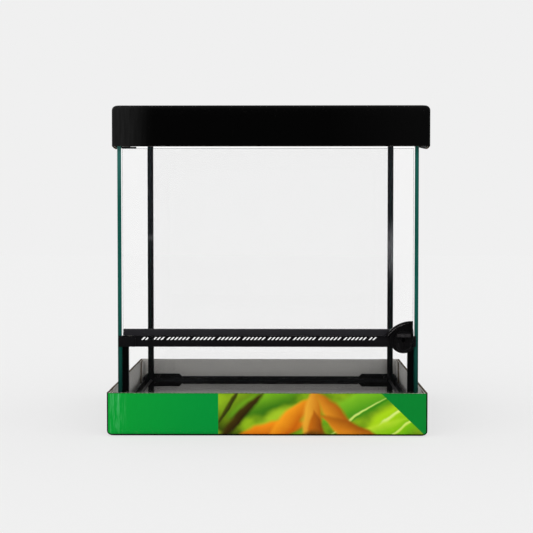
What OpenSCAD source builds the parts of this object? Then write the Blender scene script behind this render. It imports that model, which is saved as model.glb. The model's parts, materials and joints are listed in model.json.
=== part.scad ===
// Small front-opening glass terrarium, standing in the card tray and under the card cap it is sold in.
// Millimetres. The origin is the centre of the tray's underside, +Z is up and the door faces -Y.

/* [Glass box] */
// Width across the outer faces of the side panes
glass_w = 300; // [292:1:312]
// Depth from the front edges of the side panes to the back of the rear pane
glass_d = 300; // [292:1:312]
// Height of the side and rear panes
glass_h = 303.5; // [290:0.1:330]
// Thickness of every pane
pane_t = 4; // [3:0.1:4.6]
// Bonding gap round the floor, the front window and the rear pane
bond_gap = 0.3; // [0.2:0.1:0.6]
// Leg of the silicone fillet up the rear corners
fillet_leg = 3.5; // [2.5:0.1:5]
// Leg of the silicone bead round the floor
bead_leg = 2.4; // [1.6:0.1:3]
// Width of the square posts behind the front window
post_w = 6.3; // [5:0.1:7]

/* [Base frame] */
// Wall of the frame rails
frame_wall = 1.8; // [1.5:0.1:2.2]
// Extra wall of the base corners, which stand proud of the rails
corner_proud = 0.6; // [0.4:0.1:1]
// Height of the base rails
base_rail_h = 20.5; // [18:0.1:22]
// Height of the base corners
base_corner_h = 23.5; // [22.5:0.1:25]
// Length of every corner's arms, from the outer corner
corner_arm = 44; // [36:1:50]
// Outer radius of the frame corners
corner_r = 3; // [2.6:0.1:5]
// Chamfer at the end of a corner's arm
arm_chamfer = 4; // [2:0.5:5]
// Height of the glass ledge's underside above the foot of the frame
ledge_rise = 9.7; // [8:0.1:11]
// Thickness of the glass ledge
ledge_t = 2; // [1.6:0.1:2.6]
// Reach of the glass ledge inside the outer face of the glass
ledge_w = 14; // [12:0.5:16]
// Depth of the stiffening lip under the ledge's inner edge
ledge_lip = 4; // [2:0.5:5]
// Thickness of that lip
ledge_lip_t = 1.8; // [1.4:0.1:2.2]

/* [Top frame] */
// Height of the top rails
top_rail_h = 14.5; // [13:0.1:16]
// Height of the top corners
top_corner_h = 17.5; // [17:0.1:20]
// Thickness of the ledge over the glass
top_ledge_t = 1.8; // [1.5:0.1:2.4]
// Reach of the top ledge inside the outer face of the glass
top_ledge_w = 12.2; // [11:0.1:14]
// Height of the rim above the top ledge
rim_rise = 6.6; // [6.5:0.1:8]
// Depth of the lip inside the glass
inner_lip = 4; // [2:0.5:5]
// Thickness of the lip inside the glass
inner_lip_t = 1.6; // [1.2:0.1:2]
// Gap between that lip and the glass
lip_gap = 0.1; // [0.05:0.05:0.2]
// Height of the front fascia
fascia_h = 37.8; // [34:0.1:50]
// Thickness of the flange along the fascia's lower edge
fascia_flange_t = 2.5; // [2.2:0.1:4]
// Reach of that flange behind the door glass
flange_reach = 1.7; // [1.4:0.1:3]
// Gap between the side panes and the mouldings that run between them
end_gap = 0.2; // [0.1:0.05:0.3]
// Number of ribs behind the fascia
fascia_ribs = 4; // [2:1:6]
// Thickness of a fascia rib
fascia_rib_t = 1.6; // [1.2:0.1:2.4]

/* [Mesh lid] */
// Play between the lid and the rim round it
lid_play = 0.8; // [0.5:0.1:1.5]
// Height of the lid frame
lid_h = 4.5; // [4:0.1:4.6]
// Width of the lid frame under the mesh
lid_border = 10; // [8:0.5:14]
// Width of the lid frame beside the mesh
lid_land = 6; // [4:0.5:7]
// Height of the mesh above the lid's underside
mesh_rise = 1.4; // [1:0.1:2]
// Thickness of the mesh panel
mesh_t = 1; // [0.6:0.1:1.4]
// Gap round the mesh panel
mesh_gap = 0.1; // [0.05:0.05:0.2]
// Width of a bar of the mesh panel
mesh_bar = 1.6; // [1:0.1:2.4]
// Openings across the mesh
mesh_cols = 17; // [12:1:18]
// Openings from front to back of the mesh
mesh_rows = 15; // [10:1:16]

/* [Cable band] */
// Depth of the band behind the lid
band_d = 30.6; // [29:0.1:36]
// Thickness of the band behind the lid
band_t = 3; // [2.4:0.1:3.2]
// Gap between the lid and the band
band_gap = 0.6; // [0.4:0.1:1]
// Width of a cable port
port_w = 26; // [20:1:30]
// Depth of a cable port
port_d = 11; // [8:0.5:11.5]
// Distance of each port's centre from the side of the glass
port_in = 66; // [62:1:72]
// Thickness of a shutter
shutter_t = 1.3; // [1.2:0.1:1.6]
// How far a shutter laps over each side of its port
shutter_lap = 2; // [1.5:0.1:2.5]
// Gap between an open shutter and its port
shutter_clear = 6; // [4:0.5:8]
// Running gap round a shutter
shutter_gap = 0.15; // [0.1:0.05:0.2]
// Thickness of a shutter's guide rib
guide_t = 1.2; // [1:0.1:1.4]
// Thickness of the lip over a shutter
guide_lip_t = 0.6; // [0.5:0.1:0.7]
// Reach of that lip over the shutter
guide_lip = 1; // [0.8:0.1:1.4]
// Length of the ridge on a shutter
ridge_l = 10; // [8:0.5:14]
// Width and height of half that ridge
ridge_half = 1; // [0.8:0.1:1.4]
// Length of a lid clip from its pivot
clip_reach = 13; // [11:0.5:15]
// Width of a lid clip
clip_w = 7; // [6:0.5:8]
// Thickness of a lid clip
clip_t = 1.1; // [0.9:0.1:1.1]
// Distance of each clip's pivot from the side of the glass
clip_in = 32; // [29:1:34]
// Width of the seat round a clip's pivot end
clip_seat = 0.5; // [0.3:0.1:1]
// Gap under a clip and round its stud
clip_gap = 0.1; // [0.05:0.05:0.2]
// Radius of a clip's pivot stud
clip_stud_r = 1.8; // [1.5:0.1:2]
// Depth of a rivet's shank in the clip
rivet_shank = 0.8; // [0.6:0.1:0.8]
// Lap of a rivet's head over the clip
rivet_lap = 1; // [0.6:0.1:1.2]
// Height of a rivet's head
rivet_h = 0.5; // [0.4:0.1:0.8]

/* [Front window and vent strip] */
// Height of the strip's lower edge above the glass ledge
strip_rise = 74.3; // [66:0.1:90]
// Height of the strip
strip_h = 10.8; // [10.5:0.1:11.5]
// Wall of the strip
strip_wall = 1.4; // [1.2:0.1:1.6]
// Gap between the strip and the glass it grips
grip_gap = 0.2; // [0.1:0.05:0.3]
// Depth of the groove over the front window
grip_d = 3.6; // [3.4:0.1:3.8]
// Thickness of the strip's web and top flange
strip_web = 0.9; // [0.7:0.1:1]
// Height of a vent slot
slot_h = 2.9; // [2.6:0.1:4.2]
// Width of a vent slot along the strip
slot_w = 1.8; // [1.4:0.1:2.4]
// Distance between two vent slots
slot_pitch = 3.84; // [3.6:0.02:4]
// Slots in a group
group_slots = 6; // [3:1:6]
// Distance between two groups of slots
group_pitch = 25.2; // [25.2:0.1:26]
// First slot's distance from the left edge of the glass
slot_start = 23.4; // [21:0.1:24]
// Least distance of the last slot from the right edge of the glass
slot_stop = 40; // [38:0.5:60]
// Distance between the slots and the strip's top flange
slot_drop = 0.2; // [0.2:0.1:0.5]
// Distance of the strip's left end from the edge of the glass
strip_in_left = 0.8; // [0.4:0.1:1.2]
// Distance of the strip's right end from the edge of the glass
strip_in_right = 2.4; // [2:0.1:3]

/* [Door] */
// Gap between the door and the left pane
door_gap_left = 1; // [1:0.1:1.6]
// Gap between the door and the right pane
door_gap_right = 1; // [0.7:0.1:1.5]
// Gap between the door and the fascia above it
head_gap = 0.6; // [0.5:0.1:0.9]
// Thickness of the hinge washer under the door
washer_t = 0.4; // [0.3:0.1:0.8]
// Radius of the hinge washer
washer_r = 3; // [2.6:0.1:3.6]
// Height of the door's bottom rail
rail_h = 6.4; // [6:0.1:8]
// Wall of the bottom rail beside the glass
rail_wall = 2; // [1.8:0.1:2.2]
// Height of the glass seat in the bottom rail
rail_seat = 2.5; // [2.2:0.1:3]
// Edge chamfer of the bottom rail
rail_chamfer = 0.8; // [0.4:0.1:1.2]
// Gap beside the glass in the bottom rail
rail_gap = 0.1; // [0.05:0.05:0.2]
// Thickness of the shoe on the door's top edge
shoe_t = 1.6; // [1.4:0.1:2.4]
// Length of the shoe
shoe_l = 14; // [12:1:18]
// Distance of the hinge axis from the left edge of the glass
hinge_in = 12; // [11.4:0.1:13]
// Radius of the hinge pins
pin_r = 1.2; // [1:0.05:1.2]
// Radial clearance of a pin in its bearing
pin_play = 0.08; // [0.05:0.01:0.1]
// Radial gap of a pin in the door
pin_seat_gap = 0.04; // [0.02:0.01:0.06]
// Gap between the lower pin's end and the bottom of its bearing
pin_end_gap = 0.4; // [0.3:0.1:0.6]
// Gap between a pin's head and the glass in the door
pin_head_gap = 0.1; // [0.05:0.05:0.2]
// Depth of the lower pin in its bearing
pin_depth = 5.2; // [4:0.1:5.3]
// Depth of the upper pin in the fascia's flange
upper_pin_depth = 1.9; // [1.5:0.1:2]

/* [Brackets] */
// Length of the hinge bracket along the strip
hinge_bracket_l = 17.2; // [17:0.1:19]
// How far the hinge bracket stands proud of the strip
bracket_proud = 0.6; // [0.4:0.1:1]
// Length of the keeper bracket along the strip
keeper_l = 5.1; // [4.6:0.1:6]
// Height of both brackets
bracket_h = 9.3; // [9:0.1:9.6]
// Gap round a bracket's face in the strip
bracket_gap = 0.1; // [0.05:0.05:0.2]
// Chamfer of a bracket's upper corners
bracket_chamfer = 0.6; // [0.3:0.1:1]
// Gap between a bracket's lug and the strip's rear face
lug_gap = 1; // [0.6:0.1:1.2]

/* [Handle and lock] */
// Distance of the lock's axis from the right edge of the glass
lock_in = 15.1; // [14.6:0.1:16]
// Height of the lock's axis above the strip's lower edge
lock_rise = 7.3; // [7:0.05:7.3]
// Radius of the handle's fan
fan_r = 31.4; // [30.6:0.1:32.4]
// Fan centre to the right of the lock's axis
fan_dx = 8.6; // [8:0.1:9.2]
// Fan centre below the lock's axis
fan_dz = 12.6; // [12.2:0.1:13]
// Right edge of the fan from the lock's axis
fan_edge = 9.3; // [8.6:0.1:9.4]
// Thickness of the handle plate
handle_t = 1.8; // [1.6:0.1:2]
// Height of the rim round the fan
fan_rim_h = 2.8; // [1.5:0.1:3.2]
// Width of the rim round the fan
fan_rim_w = 2; // [1.4:0.1:2.2]
// Radius of the round end of the handle plate
boss_r = 13.4; // [13:0.1:14.4]
// How far the round end stands out beyond the fan's right edge
boss_step = 0.8; // [0.5:0.1:1.2]
// Inset of the rim behind the fan
rear_rim_in = 0.4; // [0.2:0.1:0.8]
// Gap between the handle plate and the knob
knob_gap = 0.2; // [0.15:0.05:0.4]
// Gap between the rim round the fan and the knob's hub
rim_gap = 0.7; // [0.5:0.1:1]
// Radius of the knob's hub
hub_r = 9.3; // [8.9:0.1:9.4]
// Thickness of the knob
knob_t = 1.8; // [1.6:0.1:2]
// Height of the knob's raised grip
grip_h = 2.2; // [1.4:0.1:2.4]
// Height of the raised bar's lower edge above the axis
bar_rise = 3; // [2.3:0.1:3]
// Width of the raised bar
bar_w = 3.4; // [2.4:0.1:3.6]
// Half the width of the knob's lever
lever_half = 6.7; // [6:0.1:6.8]
// Reach of the knob's lever from the axis
lever_reach = 12.4; // [11.6:0.1:12.8]
// Width of the raised edge round the lever
lever_edge = 1.9; // [1.4:0.1:2.4]
// Distance of the lever's raised edge below the axis
lever_drop = 3.1; // [2.6:0.1:3.6]
// Radius of the lock's shaft
shaft_r = 1.4; // [1.3:0.05:1.4]
// Radial clearance of the shaft in the handle plate
shaft_play = 0.08; // [0.05:0.01:0.1]
// Half the length of the cam
cam_half = 2.1; // [1.9:0.1:2.4]
// Thickness of the cam
cam_t = 1.5; // [1.2:0.1:1.8]
// Gap between the cam and the strip's face
cam_gap = 0.3; // [0.2:0.05:0.4]
// How much flatter the cam is than the shaft, above and below
cam_flat = 0.1; // [0.05:0.05:0.3]
// Half the length of the lock's slot
keyhole_half = 2.8; // [2.7:0.1:3.2]
// Gap above and below the shaft in the lock's slot
keyhole_gap = 0.15; // [0.1:0.05:0.2]
// Radius of the lock screw's shank
screw_r = 0.7; // [0.6:0.05:0.75]
// Radius of the lock screw's head
screw_head_r = 2.1; // [1.8:0.1:2.3]
// Height of the lock screw's head
screw_head_h = 0.9; // [0.7:0.1:1.1]
// Depth of the lock screw in the shaft
screw_depth = 2.4; // [2:0.1:2.6]
// Gap round the lock screw's shank, and beyond the shaft's end
screw_gap = 0.05; // [0.03:0.01:0.1]

/* [Card packing] */
// Thickness of the corrugated card
card_t = 2.4; // [1.8:0.1:3]
// Height of the tray
tray_h = 43.2; // [36:0.1:56]
// Play between the tray's glued tabs and the base corners
tray_play = 2.5; // [1.4:0.1:3]
// How far the tray stands to the left under the tank
tray_shift = 0.8; // [0:0.1:1]
// Length of the tray's glued tabs
tab_l = 30; // [24:1:40]
// Radius of a folded card edge
fold_r = 5; // [4:0.1:7]
// Radius of the tray's and cap's upright corners
upright_r = 3.5; // [3:0.1:5]
// Inner radius of the upright creases
crease_r = 1; // [0.6:0.1:1.6]
// Play between the cap and the top frame
cap_play = 3.4; // [3.2:0.1:5]
// How far the cap sits to the right on the frame
cap_shift = 3; // [0:0.1:3]
// How far the cap's front wall reaches below the fascia
cap_cover = 0.2; // [0:0.05:0.3]
// Slump of the cap's side walls below its front wall
cap_slump = 1.9; // [0:0.1:3]
// Where the slump starts, behind the cap's front wall
slump_start = 7; // [6:0.5:12]
// Where the slump is deepest, behind the cap's front wall
slump_low = 22; // [16:1:40]
// Height of the cap's rear wall
cap_rear_h = 20; // [16:0.5:24]
// How far the tray's glued tabs stay below its edge
tab_drop = 1; // [0.5:0.1:2]

/* [Hidden] */
$fn = 48;
tiny = 0.01;
half_w = glass_w / 2;
half_d = glass_d / 2;
in_w = half_w - pane_t;
in_d = half_d - pane_t;

// Heights, from the floor that the tray stands on
z_foot = card_t;
z_ledge = z_foot + ledge_rise + ledge_t;
z_floor = z_ledge + pane_t;
z_glass_top = z_ledge + glass_h;
z_deck = z_glass_top + top_ledge_t;
z_rim = z_deck + rim_rise;
z_strip = z_ledge + strip_rise;
z_strip_top = z_strip + strip_h;
z_web = z_strip + grip_d;
z_rail = z_strip_top + washer_t;
z_fascia = z_rim - fascia_h;
z_door_top = z_fascia - head_gap;
z_cap_edge = z_fascia - cap_cover;
z_cap_top = z_rim + card_t;
z_band = z_deck + band_t;
z_lid = z_deck + lid_h;
z_clip = z_lid + clip_gap;

// Depths, on the front face of the glass
y_glass = -half_d;
y_strip = y_glass - grip_gap - strip_wall;
y_strip_back = y_glass + pane_t + grip_gap + strip_wall;
y_rail = y_glass - rail_wall;
y_handle = y_rail - handle_t;
y_hub = y_handle - knob_gap - knob_t;

// The hinge axis stands in the middle of the door glass
hinge_x = -half_w + hinge_in;
hinge_y = y_glass + pane_t / 2;
door_left = -in_w + door_gap_left;
door_right = in_w - door_gap_right;

// The lock's axis
lock_x = half_w - lock_in;
lock_z = z_strip + lock_rise;

// The strip ends just inside the glass edges
strip_left = -half_w + strip_in_left;
strip_right = half_w - strip_in_right;

// The card is folded round the widest part of the terrarium
frame_out = frame_wall;
tray_in = corner_proud + frame_wall + tray_play + card_t;
tray_out = tray_in + card_t;
cap_in = frame_wall + cap_play;
cap_out = cap_in + card_t;

// The lid ends short of the cable band
lid_half = half_w - lid_play;
lid_front = -half_d + lid_play;
band_rear = half_d - lid_play;
band_front = band_rear - band_d;
lid_rear = band_front - band_gap;
port_x = half_w - port_in;
port_front = band_front + guide_t + 2 * shutter_gap + shutter_lap;
port_mid = port_front + port_d / 2;
shutter_w = port_w + 2 * shutter_lap;
shutter_d = port_d + 2 * shutter_lap;
shutter_rest = port_x - port_w / 2 - shutter_clear - shutter_w / 2;
clip_x = half_w - clip_in;
clip_y = band_front + clip_w / 2 + clip_seat;

card_black = "#141414";
card_green = "#0b9a3c";
plastic_black = "#1b1b1d";
glass_tint = [0.62, 0.84, 0.78, 0.35];

// General shapes

// A box from one corner to the opposite one
module block(low, high) {
    translate(low) cube(high - low);
}

// An outline in X and Z, run forwards from a depth
module facing(y_back, depth) {
    translate([0, y_back, 0]) rotate([90, 0, 0]) linear_extrude(depth) children();
}

// An outline in Y and Z, run along X
module along_x(x_from, x_to) {
    translate([x_from, 0, 0]) rotate([90, 0, 90]) linear_extrude(x_to - x_from) children();
}

// A rectangle with its two lower corners rounded
module tub_outline(w, h, r) {
    translate([-w / 2, r]) square([w, h - r]);
    translate([-w / 2 + r, 0]) square([w - 2 * r, r + tiny]);
    for (side = [-1, 1]) translate([side * (w / 2 - r), r]) circle(r);
}

// A rectangle with four rounded corners
module round_rect(w, d, r) {
    square([w - 2 * r, d], center = true);
    square([w, d - 2 * r], center = true);
    for (sx = [-1, 1], sy = [-1, 1]) translate([sx * (w / 2 - r), sy * (d / 2 - r)]) circle(r);
}

// A solid with folded lower edges and rounded uprights, standing on Z = 0
module folded_solid(w, d, h, fold, upright) {
    intersection() {
        facing(d / 2, d) tub_outline(w, h, fold);
        along_x(-w / 2, w / 2) tub_outline(d, h, fold);
        linear_extrude(h) round_rect(w, d, upright);
    }
}

// Side 0 is the front, then they go round through right, rear and left
module on_side(side) {
    rotate([0, 0, 90 * side]) children();
}
function side_half(side) = side % 2 == 0 ? half_d : half_w;
function side_run(side) = (side % 2 == 0 ? half_w : half_d) + frame_out - corner_arm;

// A child modelled with its corner at the origin and its arms along +X and +Y
module at_corner(index, out) {
    sx = index == 1 || index == 2 ? 1 : -1;
    sy = index >= 2 ? 1 : -1;
    translate([sx * (half_w + out), sy * (half_d + out), 0]) rotate([0, 0, 90 * index]) children();
}

// An L in plan between two distances from the outer faces
module l_band(arm, from, to) {
    polygon([[from, from], [arm, from], [arm, to], [to, to], [to, arm], [from, arm]]);
}

// The L of an outer wall, rounded at the corner
module l_wall(arm, wall, r) {
    difference() {
        union() {
            translate([r, r]) circle(r);
            translate([r, 0]) square([arm - r, arm]);
            translate([0, r]) square([arm, arm - r]);
        }
        translate([wall, wall]) square(arm);
    }
}

// Cuts the upper or lower end of a corner's two arms at 45 degrees
module arm_end_cuts(arm, z_edge, chamfer, up) {
    reach = chamfer + 1;
    for (swap = [0, 1])
        mirror([swap, -swap, 0])
            facing(arm / 2, arm)
                polygon([[arm - chamfer, z_edge], [arm + 1, z_edge - up * reach], [arm + 1, z_edge + up],
                         [arm - chamfer, z_edge + up]]);
}

// Card packing

module card_tray() {
    outer_w = glass_w + 2 * tray_out;
    outer_d = glass_d + 2 * tray_out;
    in_x = half_w + tray_in;
    in_y = half_d + tray_in;
    color(card_green) translate([-tray_shift, 0, 0]) {
        difference() {
            folded_solid(outer_w, outer_d, tray_h, fold_r, upright_r);
            translate([0, 0, card_t]) linear_extrude(tray_h) round_rect(2 * in_x, 2 * in_y, crease_r);
        }
        // glued tabs inside the side walls
        for (sx = [-1, 1], sy = [-1, 1])
            block([min(sx * in_x, sx * (in_x - card_t)), min(sy * in_y, sy * (in_y - tab_l)), fold_r],
                  [max(sx * in_x, sx * (in_x - card_t)), max(sy * in_y, sy * (in_y - tab_l)),
                   tray_h - tab_drop]);
    }
}

// The side walls slump behind the front wall, then their lower edge climbs to a lower rear wall
module card_cap() {
    outer_w = glass_w + 2 * cap_out;
    outer_d = glass_d + 2 * cap_out;
    depth = z_cap_top - z_cap_edge + cap_slump;
    z_low = z_cap_edge - cap_slump;
    y_front_in = -half_d - cap_in;
    color(card_black) translate([cap_shift, 0, 0]) difference() {
        translate([0, 0, z_cap_top]) mirror([0, 0, 1]) difference() {
            folded_solid(outer_w, outer_d, depth, fold_r, upright_r);
            translate([0, 0, card_t]) linear_extrude(depth)
                round_rect(outer_w - 2 * card_t, outer_d - 2 * card_t, crease_r);
        }
        along_x(-outer_w, outer_w)
            polygon([[-outer_d, z_low - 1], [-outer_d, z_cap_edge], [y_front_in + slump_start, z_cap_edge],
                     [y_front_in + slump_low, z_low], [half_d + cap_in, z_cap_top - cap_rear_h],
                     [outer_d, z_cap_top - cap_rear_h], [outer_d, z_low - 1]]);
    }
}

// Glass box

module floor_glass() {
    color(glass_tint)
        block([-in_w + bond_gap, -in_d + bond_gap, z_ledge], [in_w - bond_gap, in_d - bond_gap, z_floor]);
}

module side_glass(side) {
    color(glass_tint)
        block([side > 0 ? in_w : -half_w, -half_d, z_ledge],
              [side > 0 ? half_w : -in_w, in_d - bond_gap, z_glass_top]);
}

module rear_glass() {
    color(glass_tint) block([-half_w, in_d, z_ledge], [half_w, half_d, z_glass_top]);
}

module front_window() {
    color(glass_tint)
        block([-in_w + bond_gap, y_glass, z_ledge], [in_w - bond_gap, y_glass + pane_t, z_web - lip_gap]);
}

// Fills the bond between two panes and rounds the corner inside it
module rear_seal(side) {
    z_seal_top = z_glass_top - inner_lip;
    color(plastic_black) mirror([side > 0 ? 1 : 0, 0, 0]) {
        block([-half_w, in_d - bond_gap, z_ledge], [-in_w, in_d, z_seal_top]);
        translate([0, 0, z_floor]) linear_extrude(z_seal_top - z_floor) difference() {
            polygon([[-in_w, in_d], [-in_w, in_d - fillet_leg], [-in_w + fillet_leg, in_d]]);
            translate([-in_w + fillet_leg * 1.5, in_d - fillet_leg * 1.5]) circle(fillet_leg * 0.9);
        }
    }
}

// A triangular bead along each edge of the floor, between the posts and the rear seals
module floor_seal() {
    from_y = -in_d + post_w;
    to_y = in_d - fillet_leg;
    color(plastic_black) {
        for (side = [-1, 1])
            translate([0, to_y, 0]) rotate([90, 0, 0]) linear_extrude(to_y - from_y)
                polygon([[side * in_w, z_floor], [side * (in_w - bead_leg), z_floor],
                         [side * in_w, z_floor + bead_leg]]);
        along_x(-in_w + post_w, in_w - post_w)
            polygon([[-in_d, z_floor], [-in_d + bead_leg, z_floor], [-in_d, z_floor + bead_leg]]);
        along_x(-in_w + fillet_leg, in_w - fillet_leg)
            polygon([[in_d, z_floor], [in_d - bead_leg, z_floor], [in_d, z_floor + bead_leg]]);
    }
}

module front_post(side) {
    color(plastic_black) mirror([side > 0 ? 1 : 0, 0, 0])
        block([-in_w, y_glass + pane_t, z_floor], [-in_w + post_w, y_glass + pane_t + post_w, z_strip]);
}

// Base frame

// Wall outside the glass, ledge under it and a lip under the ledge's inner edge
module base_rail(side) {
    wall = frame_wall;
    inner = frame_wall + ledge_w;
    under = ledge_rise;
    over = ledge_rise + ledge_t;
    lip_from = inner - ledge_lip_t;
    color(plastic_black) on_side(side)
        translate([0, -side_half(side) - frame_out, z_foot])
            along_x(-side_run(side), side_run(side))
                polygon([[0, 0], [wall, 0], [wall, under], [lip_from, under],
                         [lip_from, under - ledge_lip], [inner, under - ledge_lip], [inner, over],
                         [wall, over], [wall, base_rail_h], [wall / 3, base_rail_h],
                         [0, base_rail_h - wall / 3]]);
}

// The same section as a taller, thicker L
module base_corner(index) {
    wall = frame_wall + corner_proud;
    inner = wall + ledge_w;
    arm = corner_arm + corner_proud;
    color(plastic_black) at_corner(index, wall) translate([0, 0, z_foot]) {
        difference() {
            linear_extrude(base_corner_h) l_wall(arm, wall, corner_r);
            arm_end_cuts(arm, base_corner_h, arm_chamfer, 1);
        }
        translate([0, 0, ledge_rise]) linear_extrude(ledge_t) l_band(arm, wall - tiny, inner);
        translate([0, 0, ledge_rise - ledge_lip]) linear_extrude(ledge_lip + tiny)
            l_band(arm, inner - ledge_lip_t, inner);
    }
}

// Top frame

module top_rail(side) {
    wall = frame_wall;
    inner = frame_wall + top_ledge_w;
    lip_out = frame_wall + pane_t + lip_gap;
    lip_in = lip_out + inner_lip_t;
    under = top_rail_h - rim_rise - top_ledge_t;
    over = under + top_ledge_t;
    color(plastic_black) on_side(side)
        translate([0, -side_half(side) - frame_out, z_rim - top_rail_h])
            along_x(-side_run(side), side_run(side))
                polygon([[0, 0], [wall, 0], [wall, under], [lip_out, under], [lip_out, under - inner_lip],
                         [lip_in, under - inner_lip], [lip_in, under], [inner, under], [inner, over],
                         [wall, over], [wall, top_rail_h], [wall / 3, top_rail_h],
                         [0, top_rail_h - wall / 3]]);
}

// The front corners have no lip at the front, where the door passes
module top_corner(index) {
    wall = frame_wall;
    inner = frame_wall + top_ledge_w;
    lip_out = frame_wall + pane_t + lip_gap;
    lip_in = lip_out + inner_lip_t;
    under = top_corner_h - rim_rise - top_ledge_t;
    color(plastic_black) at_corner(index, wall) translate([0, 0, z_rim - top_corner_h]) {
        difference() {
            linear_extrude(top_corner_h) l_wall(corner_arm, wall, corner_r);
            arm_end_cuts(corner_arm, 0, arm_chamfer / 2, -1);
        }
        translate([0, 0, under]) linear_extrude(top_ledge_t) l_band(corner_arm, wall - tiny, inner);
        if (index >= 2)
            translate([0, 0, under - inner_lip]) linear_extrude(inner_lip + tiny)
                l_band(corner_arm, lip_out, lip_in);
    }
}

// Deep front moulding that hides the door's head and carries its upper bearing
module top_fascia() {
    run = side_run(0);
    z_corner = z_rim - top_corner_h;
    y_flange = y_glass + pane_t + flange_reach;
    rib_span = run - fascia_rib_t;
    color(plastic_black) difference() {
        union() {
            facing(y_glass, frame_wall)
                polygon([[-half_w, z_fascia], [half_w, z_fascia], [half_w, z_corner], [run, z_corner],
                         [run, z_rim], [-run, z_rim], [-run, z_corner], [-half_w, z_corner]]);
            block([-in_w + end_gap, y_glass - tiny, z_fascia],
                  [in_w - end_gap, y_flange, z_fascia + fascia_flange_t]);
            block([-run, y_glass - tiny, z_glass_top], [run, y_glass + top_ledge_w, z_deck]);
            for (i = [0 : fascia_ribs - 1]) {
                x_rib = -rib_span + 2 * rib_span * i / (fascia_ribs - 1);
                block([x_rib - fascia_rib_t / 2, y_glass - tiny, z_fascia + fascia_flange_t - tiny],
                      [x_rib + fascia_rib_t / 2, y_flange, z_glass_top + tiny]);
            }
        }
        // upper bearing
        translate([hinge_x, hinge_y, z_fascia - 1]) cylinder(r = pin_r + pin_play, h = fascia_flange_t + 2);
    }
}

// Cable band, its shutters and the lid clips

// Ribs in front of and behind the shutters, with lips over them
module shutter_guides(side) {
    from_x = shutter_rest - shutter_w / 2;
    to_x = port_x + shutter_w / 2 + guide_lip;
    y_low = band_front;
    y_high = port_front + port_d + shutter_lap + shutter_gap;
    z_lip = z_band + shutter_t + shutter_gap;
    x_low = side > 0 ? from_x : -to_x;
    x_high = side > 0 ? to_x : -from_x;
    block([x_low, y_low, z_band - tiny], [x_high, y_low + guide_t, z_lip + guide_lip_t]);
    block([x_low, y_low, z_lip], [x_high, y_low + guide_t + guide_lip, z_lip + guide_lip_t]);
    block([x_low, y_high, z_band - tiny], [x_high, y_high + guide_t, z_lip + guide_lip_t]);
    block([x_low, y_high - guide_lip, z_lip], [x_high, y_high + guide_t, z_lip + guide_lip_t]);
}

module cable_band() {
    color(plastic_black) {
        difference() {
            block([-lid_half, band_front, z_deck], [lid_half, band_rear, z_band]);
            for (side = [-1, 1])
                block([side * port_x - port_w / 2, port_front, z_deck - 1],
                      [side * port_x + port_w / 2, port_front + port_d, z_band + 1]);
        }
        for (side = [-1, 1]) {
            shutter_guides(side);
            // clip seat and stud
            translate([side * clip_x, clip_y, z_band - tiny]) {
                cylinder(r = clip_w / 2 + clip_seat, h = z_clip - z_band + tiny);
                cylinder(r = clip_stud_r, h = z_clip + clip_t - rivet_shank - z_band + tiny);
            }
        }
    }
}

// Lies open towards the middle and slides outwards over its port
module cable_shutter(side) {
    x_mid = side * shutter_rest;
    y_low = port_front - shutter_lap;
    z_top = z_band + shutter_t;
    color(plastic_black) {
        block([x_mid - shutter_w / 2, y_low, z_band], [x_mid + shutter_w / 2, y_low + shutter_d, z_top]);
        block([x_mid - ridge_l / 2, port_mid - ridge_half, z_top - tiny],
              [x_mid + ridge_l / 2, port_mid + ridge_half, z_top + ridge_half]);
    }
}

// Points outwards beside the lid, and turns a quarter to lie over it
module lid_clip(side) {
    round_end = clip_reach - clip_w / 2;
    color(plastic_black) translate([side * clip_x, clip_y, z_clip]) rotate([0, 0, side > 0 ? 0 : 180])
        difference() {
            linear_extrude(clip_t) {
                circle(clip_w / 2);
                translate([0, -clip_w / 2]) square([round_end, clip_w]);
                translate([round_end, 0]) circle(clip_w / 2);
            }
            translate([0, 0, -1]) cylinder(r = clip_stud_r + clip_gap, h = clip_t + 2);
        }
}

module clip_rivets() {
    color("#8d8f92") for (side = [-1, 1])
        translate([side * clip_x, clip_y, z_clip + clip_t]) {
            cylinder(r1 = clip_stud_r + rivet_lap, r2 = clip_stud_r + rivet_lap / 2, h = rivet_h);
            translate([0, 0, -rivet_shank]) cylinder(r = clip_stud_r, h = rivet_shank + tiny);
        }
}

// Mesh lid

module lid_ring(border, z_from, z_to) {
    difference() {
        block([-lid_half, lid_front, z_from], [lid_half, lid_rear, z_to]);
        block([-lid_half + border, lid_front + border, z_from - 1],
              [lid_half - border, lid_rear - border, z_to + 1]);
    }
}

module lid_frame() {
    color(plastic_black) {
        lid_ring(lid_border, z_deck, z_deck + mesh_rise);
        lid_ring(lid_land, z_deck + mesh_rise - tiny, z_lid);
    }
}

module lid_mesh() {
    edge = lid_land + mesh_gap;
    size_x = 2 * (lid_half - edge);
    size_y = lid_rear - lid_front - 2 * edge;
    pitch_x = (size_x - mesh_bar) / mesh_cols;
    pitch_y = (size_y - mesh_bar) / mesh_rows;
    color("#3a3b3d") translate([-lid_half + edge, lid_front + edge, z_deck + mesh_rise])
        linear_extrude(mesh_t) difference() {
            square([size_x, size_y]);
            for (i = [0 : mesh_cols - 1], j = [0 : mesh_rows - 1])
                translate([mesh_bar + i * pitch_x, mesh_bar + j * pitch_y])
                    square([pitch_x - mesh_bar, pitch_y - mesh_bar]);
        }
}

// Vent strip and its brackets

// Leaning slots in groups along the strip's face, as many as fit before the lock
module vent_slots() {
    z_slot = z_strip_top - strip_web - slot_drop - slot_h;
    for (x_group = [-half_w + slot_start : group_pitch : half_w - slot_stop], i = [0 : group_slots - 1]) {
        x = x_group + i * slot_pitch;
        if (x + slot_w + slot_h < half_w - slot_stop)
            polygon([[x, z_slot], [x + slot_w, z_slot], [x + slot_w + slot_h, z_slot + slot_h],
                     [x + slot_h, z_slot + slot_h]]);
    }
}

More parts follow.
